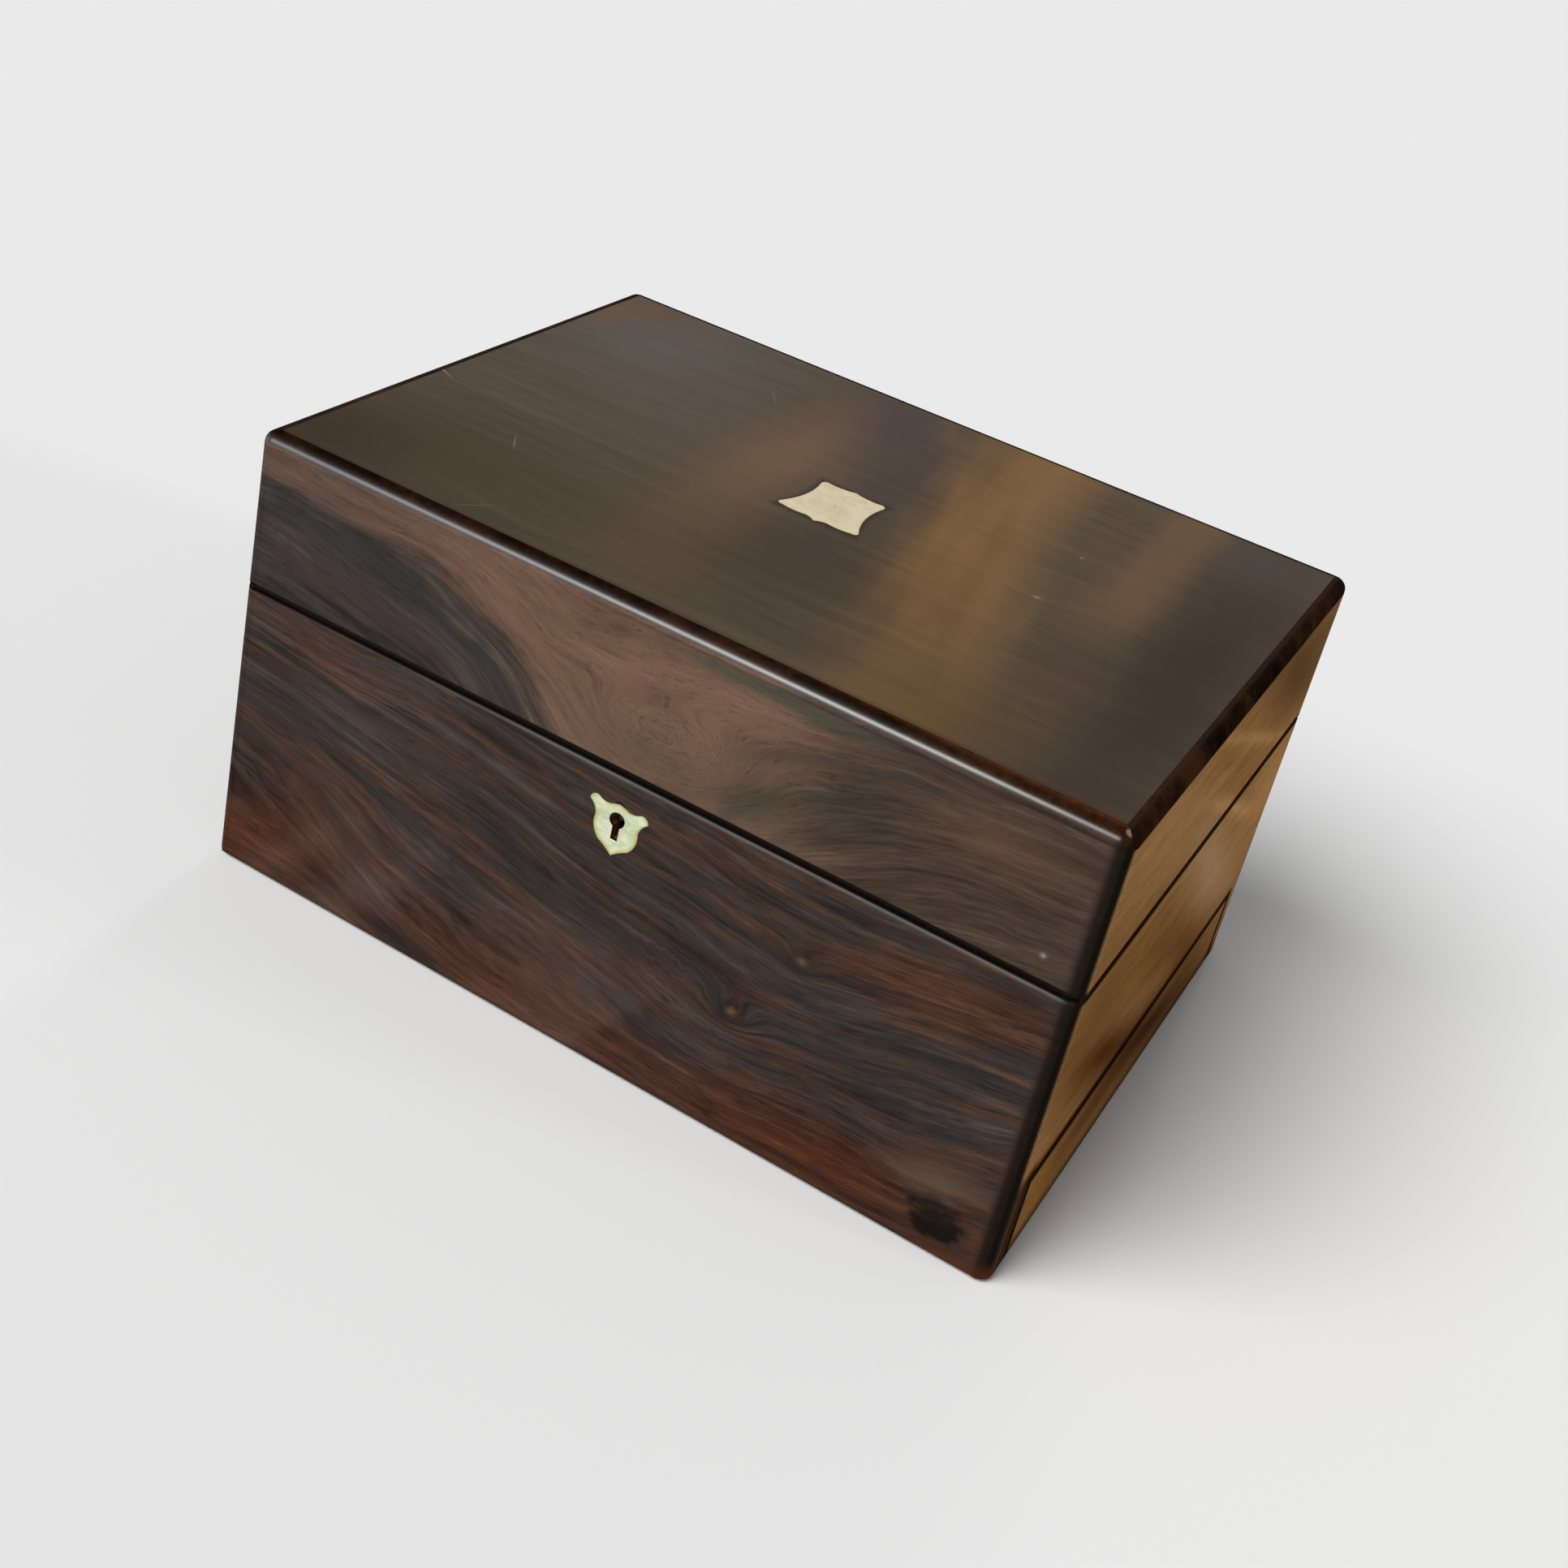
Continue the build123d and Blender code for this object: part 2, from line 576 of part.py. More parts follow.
def make_lock(parts):
    """The box lock: case, top plate, drill pin, sliding bolt and spring, and the lid's hooked plate."""
    x1 = LOCK_WIDTH / 2
    z0 = LOCK_TOP - LOCK_HEIGHT
    sheet = LOCK_SHEET
    y0, y1 = LOCK_FRONT_Y + sheet, LOCK_BACK_Y - sheet
    case = block(-x1, x1, LOCK_FRONT_Y, LOCK_BACK_Y, z0, LOCK_TOP)
    case -= block(-x1 + sheet, x1 - sheet, y0, y1, z0 + sheet, LOCK_TOP)
    case -= keyhole(LOCK_FRONT_Y - PAST, y0)
    bar_x0 = HOOK_X[0] - FINGER_REACH
    bar_x1 = HOOK_X[1] - BOLT_SIDE_GAP
    rest_z = BOLT_Z - BOLT_REST
    for rest_x in (bar_x0, bar_x1 - BOLT_TRAVEL):
        case += block(rest_x, rest_x + BOLT_TRAVEL, y0, y1, rest_z - sheet, rest_z)
    parts["lock_case"] = case

    y = LOCK_BACK_Y - SELVEDGE_DEPTH
    reach = SELVEDGE_WIDTH / 2
    plate = block(-reach, reach, y, LOCK_BACK_Y, LOCK_TOP, BASE_HEIGHT)
    hook_y = BOLT_Y
    for slot in lock_slots(hook_y - SLOT_PLAY, hook_y + HOOK_THICK + SLOT_PLAY, SLOT_PLAY):
        plate -= slot
    for x, y, z in lock_screw_points(BASE_HEIGHT):
        plate -= screw_body(x, y, z, -1)
    parts["lock_plate"] = plate

    post = Pos(0, y1 - LOCK_PIN_LENGTH / 2, KEY_Z) * Rot(90, 0, 0)
    parts["lock_pin"] = post * Cylinder(LOCK_PIN_R, LOCK_PIN_LENGTH)

    bolt = block(bar_x0, bar_x1, BOLT_Y, BOLT_Y + BOLT_THICK, BOLT_Z, BOLT_Z + BOLT_BAR)
    finger_z = NOTCH_Z + HOOK_PLAY
    for x in HOOK_X:
        tip = x - BOLT_SIDE_GAP
        heel = x - FINGER_REACH
        bolt += block(heel, tip, BOLT_Y, BOLT_Y + BOLT_THICK, finger_z, finger_z + BOLT_FINGER)
        bolt += block(heel, heel + BOLT_STEM, BOLT_Y, BOLT_Y + BOLT_THICK, BOLT_Z, finger_z + BOLT_FINGER)
    bolt -= Pos(0, BOLT_Y + BOLT_THICK / 2, BOLT_Z) * Rot(90, 0, 0) * Cylinder(
        LOCK_PIN_R + KEY_CLEAR, 2 * BOLT_THICK
    )
    parts["lock_bolt"] = bolt

    strip = bowed_strip(LOCK_SPRING_SPAN, LOCK_SPRING_RISE, LOCK_SPRING_STRIP, LOCK_SPRING_DEPTH)
    spring_x = (HOOK_X[0] + HOOK_WIDTH + HOOK_X[1] - FINGER_REACH) / 2
    spring_z = BOLT_Z + BOLT_BAR + REST_GAP
    place = Pos(spring_x, BOLT_Y + BOLT_THICK / 2, spring_z) * Rot(90, 0, 0)
    parts["lock_spring"] = place * strip

    y = LOCK_BACK_Y - SELVEDGE_DEPTH
    link = block(-reach, reach, y, LOCK_BACK_Y, LID_Z, LID_Z + SELVEDGE)
    for x in HOOK_X:
        hook_y1 = hook_y + HOOK_THICK
        link += block(x, x + HOOK_WIDTH, hook_y, hook_y1, LID_Z - HOOK_DROP, LID_Z + SELVEDGE)
        notch_top = NOTCH_Z + BOLT_FINGER + 2 * HOOK_PLAY
        link -= block(x, x + HOOK_NOTCH, hook_y, hook_y1, NOTCH_Z, notch_top)
    for x, y, z in lock_screw_points(LID_Z):
        link -= screw_body(x, y, z, 1)
    parts["link_plate"] = link
    parts["lock_screws"] = [screw(*p, -1) for p in lock_screw_points(BASE_HEIGHT)]
    parts["link_screws"] = [screw(*p, 1) for p in lock_screw_points(LID_Z)]


def make_hinges(parts):
    """Two stopped butt hinges with their pins and screws."""
    for name, x in (("left", -HINGE_X), ("right", HINGE_X)):
        parts["hinge_" + name + "_base_leaf"] = hinge_leaf(x, -1)
        parts["hinge_" + name + "_lid_leaf"] = hinge_leaf(x, 1)
    parts["hinge_pins"] = [hinge_pin(x) for x in (-HINGE_X, HINGE_X)]
    for name, half in (("base", -1), ("lid", 1)):
        points = hinge_screws(-HINGE_X, half) + hinge_screws(HINGE_X, half)
        parts["hinge_screws_" + name] = [screw(*p, half) for p in points]


def make_drawer(parts):
    """The side drawer, the leaf spring that pushes it out and the pin that holds it."""
    form = outer_form(BAIZE, BASE_HEIGHT, FOOT_EDGE_R, ARRIS_R)
    face = form & block(INSIDE_X, SIDE, -DRAWER_Y, DRAWER_Y, BAIZE, BAIZE + DRAWER_HEIGHT)
    parts["drawer_front"] = fillet(face.faces().sort_by(Axis.Z)[-1].edges(), DRAWER_EDGE_R)

    side_top = DRAWER_Z + DRAWER_SIDE_HEIGHT
    sides = []
    for y0, y1 in ((-DRAWER_Y, -DRAWER_Y + DRAWER_SIDE), (DRAWER_Y - DRAWER_SIDE, DRAWER_Y)):
        sides.append(block(DRAWER_BACK_X, INSIDE_X, y0, y1, DRAWER_Z, side_top))
    hole_z = FLOOR_Z + REST_GAP - PIN_TRAVEL - PIN_HOLE_SPARE
    sides[0] -= rod(PIN_X, PIN_Y, hole_z, side_top, PIN_R + PIN_SLACK)
    parts["drawer_sides"] = sides

    y1 = DRAWER_Y - DRAWER_SIDE
    x0 = DRAWER_BACK_X + DRAWER_END
    parts["drawer_end"] = block(DRAWER_BACK_X, x0, -y1, y1, DRAWER_Z, side_top)
    z1 = DRAWER_Z + DRAWER_FLOOR
    parts["drawer_floor"] = block(x0, INSIDE_X, -y1, y1, DRAWER_Z, z1)
    parts["drawer_lining"] = block(x0, INSIDE_X, -y1, y1, z1, z1 + DRAWER_PAD)

    rise = DRAWER_BACK_X - SPRING_GAP + INSIDE_X
    strip = bowed_strip(SPRING_SPAN, rise, SPRING_STRIP, SPRING_HEIGHT)
    spring_z = DRAWER_Z + DRAWER_SIDE_HEIGHT / 2
    parts["drawer_spring"] = Pos(-INSIDE_X, 0, spring_z) * Rot(0, 0, -90) * strip

    tip = FLOOR_Z + REST_GAP
    head = FLOOR_TOP + VELVET + REST_GAP + PIN_TRAVEL
    stem = rod(PIN_X, PIN_Y, tip, head, PIN_R)
    knob = rod(PIN_X, PIN_Y, head, head + PIN_HEAD, PIN_HEAD_R)
    knob = fillet(knob.edges().filter_by(GeomType.CIRCLE), PIN_HEAD_ROUND)
    parts["drawer_pin"] = stem + knob


def make_tray(parts):
    """The lift-out tray with its velvet floor, dividers and finger scoops."""
    z0, z1 = TRAY_Z, TRAY_TOP
    parts["tray_front"] = block(-TRAY_X, TRAY_X, -TRAY_Y, -TRAY_Y + TRAY_WALL, z0, z1)
    parts["tray_back"] = block(-TRAY_X, TRAY_X, TRAY_Y - TRAY_WALL, TRAY_Y, z0, z1)
    inner_x, inner_y = TRAY_X - TRAY_WALL, TRAY_Y - TRAY_WALL
    scoop = Pos(0, 0, z1 - SCOOP_DEPTH + SCOOP_R) * Rot(0, 90, 0) * Cylinder(SCOOP_R, 2 * (TRAY_X + PAST))
    ends = []
    for x0, x1 in ((-TRAY_X, -inner_x), (inner_x, TRAY_X)):
        ends.append(block(x0, x1, -inner_y, inner_y, z0, z1) - scoop)
    parts["tray_ends"] = ends
    floor_top = z0 + TRAY_FLOOR
    parts["tray_floor"] = block(-inner_x, inner_x, -inner_y, inner_y, z0, floor_top)
    parts["tray_lining"] = block(-inner_x, inner_x, -inner_y, inner_y, floor_top, TRAY_PAD_TOP)

    z0, z1 = TRAY_PAD_TOP, TRAY_TOP - TRAY_DIVIDER_DROP
    bay = inner_x - TRAY_SIDE_BAY
    dividers = []
    for x0, x1 in ((-bay - TRAY_DIVIDER, -bay), (bay, bay + TRAY_DIVIDER)):
        dividers.append(block(x0, x1, -inner_y, inner_y, z0, z1))
    y = -inner_y + MIDDLE_BAY_FRONT
    dividers.append(block(-bay, bay, y, y + TRAY_DIVIDER, z0, z1))
    spans = [
        (-inner_x, -bay - TRAY_DIVIDER, LEFT_BAY_CELLS),
        (bay + TRAY_DIVIDER, inner_x, RIGHT_BAY_CELLS),
    ]
    for x0, x1, cells in spans:
        cell = (2 * inner_y - (cells - 1) * TRAY_DIVIDER) / cells
        for i in range(1, cells):
            y = -inner_y + i * cell + (i - 1) * TRAY_DIVIDER
            dividers.append(block(x0, x1, y, y + TRAY_DIVIDER, z0, z1))
    parts["tray_dividers"] = dividers


def main():
    """Make every piece and write it to a file of its own."""
    parts = {}
    for make in (
        make_base,
        make_liners,
        make_lid,
        make_mirror,
        make_inlays,
        make_lock,
        make_hinges,
        make_drawer,
        make_tray,
    ):
        make(parts)
    os.makedirs("parts", exist_ok=True)
    for name, shape in parts.items():
        if isinstance(shape, list):
            shape = Compound(children=[solid for piece in shape for solid in piece.solids()])
        export_step(shape, "parts/" + name + ".step")


main()
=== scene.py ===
import bmesh
import bpy
import numpy as np
from mathutils import Matrix, Vector


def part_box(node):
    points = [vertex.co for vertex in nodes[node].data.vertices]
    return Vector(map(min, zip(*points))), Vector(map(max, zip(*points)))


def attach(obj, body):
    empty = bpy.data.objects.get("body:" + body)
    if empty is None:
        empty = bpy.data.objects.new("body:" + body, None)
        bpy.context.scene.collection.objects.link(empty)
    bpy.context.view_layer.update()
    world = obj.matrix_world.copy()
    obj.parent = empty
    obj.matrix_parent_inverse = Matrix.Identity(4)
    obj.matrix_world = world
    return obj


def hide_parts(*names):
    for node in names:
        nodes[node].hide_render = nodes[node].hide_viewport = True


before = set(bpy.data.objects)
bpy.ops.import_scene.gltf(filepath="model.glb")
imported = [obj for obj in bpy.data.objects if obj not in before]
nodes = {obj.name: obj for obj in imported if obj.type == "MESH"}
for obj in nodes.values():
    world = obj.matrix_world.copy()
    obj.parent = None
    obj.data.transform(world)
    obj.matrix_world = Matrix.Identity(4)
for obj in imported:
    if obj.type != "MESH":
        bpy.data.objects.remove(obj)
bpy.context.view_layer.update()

# The view. The camera stands a little above the box, to the right of its middle, and is rolled,
# as the photograph was taken. The shift only moves the frame, so that the box sits where it did.
camera_place = Vector((0.24115, -0.59004, 0.45710))
camera_right = Vector((0.85336, 0.47977, 0.20395))
camera_back = Vector((0.35878, -0.82432, 0.43792))


def stand(name, data):
    """An object of the scene, made from its mesh, lamp or camera."""
    made = bpy.data.objects.new(name, data)
    bpy.context.scene.collection.objects.link(made)
    return made


camera = stand("camera", bpy.data.cameras.new("camera"))
bpy.context.scene.camera = camera
turned = Matrix((camera_right, camera_back.cross(camera_right), camera_back)).transposed()
camera.matrix_world = Matrix.Translation(camera_place) @ turned.to_4x4()
camera.data.sensor_width = 36.0
camera.data.lens = 48.00
camera.data.shift_x = 0.0016
camera.data.shift_y = -0.1522
camera.data.clip_start = 0.01
bpy.context.scene.view_settings.view_transform = "Standard"


# The room. A pale floor and a pale sky, soft daylight from high on the left, so that the shadow
# falls to the right, low daylight on the right-hand end and the back, and two windows in front.
class Value:
    """One output socket of a material's nodes. Operators on values add Math nodes."""

    def __init__(self, tree, socket=None):
        self.tree, self.socket = tree, socket

    def make(self, kind, settings=None, inputs=None, output=0):
        """Any other node, from its type, its settings and the values or links of its sockets."""
        node = self.tree.nodes.new("ShaderNode" + kind)
        for name, setting in (settings or {}).items():
            if name == "stops":
                for i, (place, colour) in enumerate(setting):
                    if i > 1:
                        node.color_ramp.elements.new(place)
                    node.color_ramp.elements[i].position = place
                    node.color_ramp.elements[i].color = colour
            else:
                setattr(node, name, setting)
        for name, value in (inputs or {}).items():
            if isinstance(value, Value):
                self.tree.links.new(value.socket, node.inputs[name])
            else:
                node.inputs[name].default_value = value
        return Value(self.tree, node.outputs[output] if node.outputs else None)

    def out(self, name):
        return Value(self.tree, self.socket.node.outputs[name])

    def math(self, operation, *terms):
        return self.make("Math", {"operation": operation}, dict(enumerate(terms)))

    def __add__(self, other):
        return self.math("ADD", self, other)

    def __sub__(self, other):
        return self.math("SUBTRACT", self, other)

    def __rsub__(self, other):
        return self.math("SUBTRACT", other, self)

    def __mul__(self, other):
        return self.math("MULTIPLY", self, other)

    def __truediv__(self, other):
        return self.math("DIVIDE", self, other)

    def __abs__(self):
        return self.math("ABSOLUTE", self)

    __radd__ = __add__
    __rmul__ = __mul__


def srgb(red, green, blue):
    """A colour written 0 to 255 as on a screen, in the linear numbers that the shader takes."""
    c = np.array((red, green, blue)) / 255
    linear = np.where(c < 0.04045, c / 12.92, ((c + 0.055) / 1.055) ** 2.4)
    return (*(float(x) for x in linear), 1.0)


def blend(share, under, over):
    """Two colours mixed by a share from 0 to 1."""
    return share.make("Mix", {"data_type": "RGBA"}, {0: share, 6: under, 7: over}, 2)


def larger(*values):
    """The largest of several values."""
    top = values[0]
    for value in values[1:]:
        top = top.math("MAXIMUM", top, value)
    return top


def new_material(name):
    """An empty material and the value from which its nodes are made."""
    material = bpy.data.materials.new(name)
    material.use_nodes = True
    material.node_tree.nodes.clear()
    return material, Value(material.node_tree)


def shown_pale(start):
    """1 where the camera, a reflection or a glass looks at the room, 0 where light bounces."""
    seen = start.make("LightPath")
    return larger(seen, seen.out("Is Glossy Ray"), seen.out("Is Transmission Ray"))


pale = srgb(232, 232, 232)
floor_material, start = new_material("pale_floor")
plain = start.make("BsdfDiffuse", inputs={"Color": pale})
start.make("OutputMaterial", inputs={"Surface": plain})

reach = 40.0
floor_mesh = bpy.data.meshes.new("floor")
corners = [(-reach, -reach, 0), (reach, -reach, 0), (reach, reach, 0), (-reach, reach, 0)]
floor_mesh.from_pydata(corners, [], [(0, 1, 2, 3)])
floor_mesh.materials.append(floor_material)
floor = stand("floor", floor_mesh)

world = bpy.data.worlds.new("room")
bpy.context.scene.world = world
world.use_nodes = True
world.node_tree.nodes.clear()
start = Value(world.node_tree)
sky = start.make("Background", inputs={"Color": (1.0, 1.0, 1.0, 1.0), "Strength": 0.22})
backdrop = start.make("Background", inputs={"Color": pale, "Strength": 1.0})
mixed = start.make("MixShader", inputs={0: shown_pale(start), 1: sky, 2: backdrop})
start.make("OutputWorld", inputs={"Surface": mixed})


def lamp(name, kind, towards, strength):
    """A lamp of one of Blender's kinds, turned so that it shines from a direction."""
    holder = stand(name, bpy.data.lights.new(name, kind))
    holder.data.energy = strength
    holder.rotation_euler = Vector(towards).to_track_quat("Z", "Y").to_euler()
    return holder


def daylight(towards, strength, spread):
    """Even light from one side of the sky. It leaves no glint, as a sky without a sun."""
    holder = lamp("daylight", "SUN", towards, strength)
    holder.data.angle = np.radians(spread)
    holder.visible_glossy = False


box_middle = Vector((0.0, 0.0, 0.08))


def window(place, width, height, strength, colour):
    """A window at a place in metres that looks at the box, seen only as a glint in the polish."""
    holder = lamp("window", "AREA", Vector(place) - box_middle, strength)
    holder.location = place
    holder.data.shape = "RECTANGLE"
    holder.data.size, holder.data.size_y = width, height
    holder.data.color = colour
    holder.visible_diffuse = False


daylight((-0.33, -0.55, 0.77), 2.92, 40.0)
daylight((0.97, 0.20, 0.09), 1.65, 10.0)
daylight((-0.10, 0.98, 0.09), 1.4, 10.0)
window((-0.42, -1.55, 0.90), 0.50, 0.60, 12.0, (0.98, 1.0, 0.93))
window((-1.00, -1.45, 0.90), 0.60, 0.60, 4.4, (0.95, 0.90, 1.0))


# The front of the base: a mahogany board, veneered with rosewood and French polished. The figure
# falls from the left, climbs again to the right of the middle and curls round two small knots.
# The finishes below start from the sizes of the closed box, in millimetres.
half_length, half_depth, full_height, seam_height = 152.5, 111.0, 165.0, 108.5


def scaled_place(start, *cells):
    """The place on a piece in metres, times one number or a number for each direction."""
    place = start.make("TexCoord", output="Object")
    times = cells if len(cells) == 3 else cells * 3
    return start.make("VectorMath", {"operation": "MULTIPLY"}, {0: place, 1: times})


def on_board(start, along, across, through):
    """The board's own directions in millimetres: along the grain, across it and into the board."""
    parts = start.make("SeparateXYZ", inputs={0: scaled_place(start, 1000.0)})
    return parts.out(along), parts.out(across), parts.out(through)


def joined(x, y, z=0.0):
    """Three numbers as a vector."""
    return x.make("CombineXYZ", inputs={0: x, 1: y, 2: z})


def noise(vector, detail=2.0, rough=0.5, turn=0.0):
    """Soft noise about 0.5, one unit to a cell."""
    inputs = {"Vector": vector, "Scale": 1.0, "Detail": detail, "Roughness": rough}
    return vector.make("TexNoise", inputs=inputs | {"Distortion": turn})


def fade(value, low, high):
    """0 below low, 1 above high and smooth between; the other way round if low is above high."""
    inputs = {"Value": value, "From Min": min(low, high), "From Max": max(low, high)}
    share = value.make("MapRange", {"interpolation_type": "SMOOTHSTEP"}, inputs)
    return 1.0 - share if low > high else share


def between(value, start, full, fall, end):
    """0 before start and after end, 1 from full to fall, and smooth in between."""
    return fade(value, start, full) * fade(value, end, fall)


def size_of(x, y):
    """The length of a flat vector."""
    return x.math("SQRT", x * x + y * y)


def bell(value):
    """e to the power of minus the value squared."""
    return value.math("EXPONENT", value * value * -1.0)


def spot(field, along, across, length, width, turn=0.0):
    """A soft oval on a board, with its middle and half sizes in millimetres, turned in degrees."""
    inputs = {
        "Vector": field,
        "Location": (along, across, 0.0),
        "Rotation": (0.0, 0.0, np.radians(turn)),
        "Scale": (length, width, 1.0),
    }
    local = field.make("Mapping", {"vector_type": "TEXTURE"}, inputs)
    return bell(field.make("VectorMath", {"operation": "LENGTH"}, {0: local}, "Value"))


def patches(field, *ovals):
    """The strongest of soft ovals, each with its middle, half sizes, turn and strength."""
    return larger(*(spot(field, *oval) * strength for *oval, strength in ovals))


def spotted(colour, field, *ovals):
    """A colour under soft ovals: the middle, half sizes, turn, strength and colour of each."""
    for *oval, strength, tone in ovals:
        colour = blend(spot(field, *oval) * strength, colour, srgb(*tone))
    return colour


def streaks(along, lines, through, seed, line=1.7):
    """The grain about 0.5: broad, middle and fine streaks that keep to lines of equal value."""
    broad = noise(joined(along / 60, lines / 5.5, through / 30 + seed), 3.0, 0.55)
    middle = noise(joined(along / 30, lines / line, through / 8 + seed), 3.0, 0.6)
    fine = noise(joined(along / 9, lines / 0.5, through / 3 + seed), 2.0, 0.6)
    return broad * 0.46 + middle * 0.34 + fine * 0.20


def hairlines(along, lines, through, seed, wide=2.6):
    """Thin dark lines between the growth rings, 1 in a line, broken here and there."""
    ring = noise(joined(along / 60, lines / wide, through / 20 + seed + 20.0), 2.0, 0.55)
    second = noise(joined(along / 26, lines / (wide * 0.4), through / 20 + seed + 30.0), 2.0, 0.55)
    broken = fade(noise(joined(along / 12, lines / 5, through / 9 + seed), 2.0), 0.38, 0.62)
    return larger(bell((ring - 0.5) / 0.022), bell((second - 0.47) / 0.03) * 0.55) * broken


def pores(along, lines, through, seed):
    """Short dark pores along the grain, 1 in a pore."""
    return fade(noise(joined(along / 4.5, lines / 0.36, through + seed), 1.0), 0.60, 0.72)


def relief(height, strength, distance):
    """A fine relief from a height, which stands for a distance in metres."""
    inputs = {"Strength": strength, "Distance": distance, "Height": height}
    return height.make("Bump", inputs=inputs)


def surface(material, inputs):
    """Ends a material's nodes in the main shader, with what its sockets take."""
    start = Value(material.node_tree)
    start.make("OutputMaterial", inputs={"Surface": start.make("BsdfPrincipled", inputs=inputs)})
    return material


def polished(material, colour, grain, pore, depth=1.0, rough=0.30, gloss=0.05):
    """French polish over wood: the grain shows a little in the shine and as fine relief."""
    return surface(material, {
        "Base Color": colour,
        "Roughness": grain * 0.14 + pore * 0.10 + (rough - 0.07),
        "Specular IOR Level": gloss,
        "Normal": relief(grain * 0.5 - pore * 0.6, 0.10 * depth, 0.0002),
    })


def dress(material, *names):
    """Gives CAD nodes their material."""
    for name in names:
        for slot in nodes[name].material_slots:
            slot.material = material


def dip(along, middle, slope, round_off):
    """Lines that fall towards a middle and climb after it, as a smooth tent."""
    off = along - middle
    return along.math("SQRT", off * off + round_off**2) * -slope


def ramp(value, places, *colours):
    """A colour by value, from screen colours at their places between 0 and 1."""
    stops = [(place, srgb(*colour)) for place, colour in zip(places, colours)]
    return value.make("ValToRGB", {"stops": stops}, {0: value})


def veneered(figure, depth):
    """A figure for the veneer's millimetre, mahogany behind it and rosewood on the seam's rim."""
    colour, grain, pore = figure
    off_seam = abs(on_board(grain, "Z", "X", "Y")[0] - seam_height)
    inner = ramp(grain, (0.34, 0.50, 0.66), (96, 56, 35), (118, 72, 46), (138, 88, 57))
    banding = ramp(grain, (0.34, 0.50, 0.66), (34, 20, 13), (50, 31, 21), (68, 44, 31))
    inner = blend(fade(off_seam, 0.9, 0.6), inner, banding)
    inner = blend(pore * 0.35, inner, srgb(50, 28, 18))
    return blend(fade(depth, 0.7, 1.0), colour, inner), grain, pore


# Near black, for painted shade in the seams and along the foot.
shade_colour = srgb(13, 9, 7)
corner_black = srgb(17, 13, 9)


def cornered(colour, along, grain):
    """The front's colour, darker on the right-hand post and black in both upright roundings."""
    post = fade(along + (grain - 0.5) * 5.0, 145.2, 149.4)
    colour = blend(post * 0.90, colour, srgb(25, 22, 17))
    for inner, outer in ((149.8, 151.0), (-149.9, -151.4)):
        colour = blend(fade(along, inner, outer) * 0.9, colour, corner_black)
    return colour


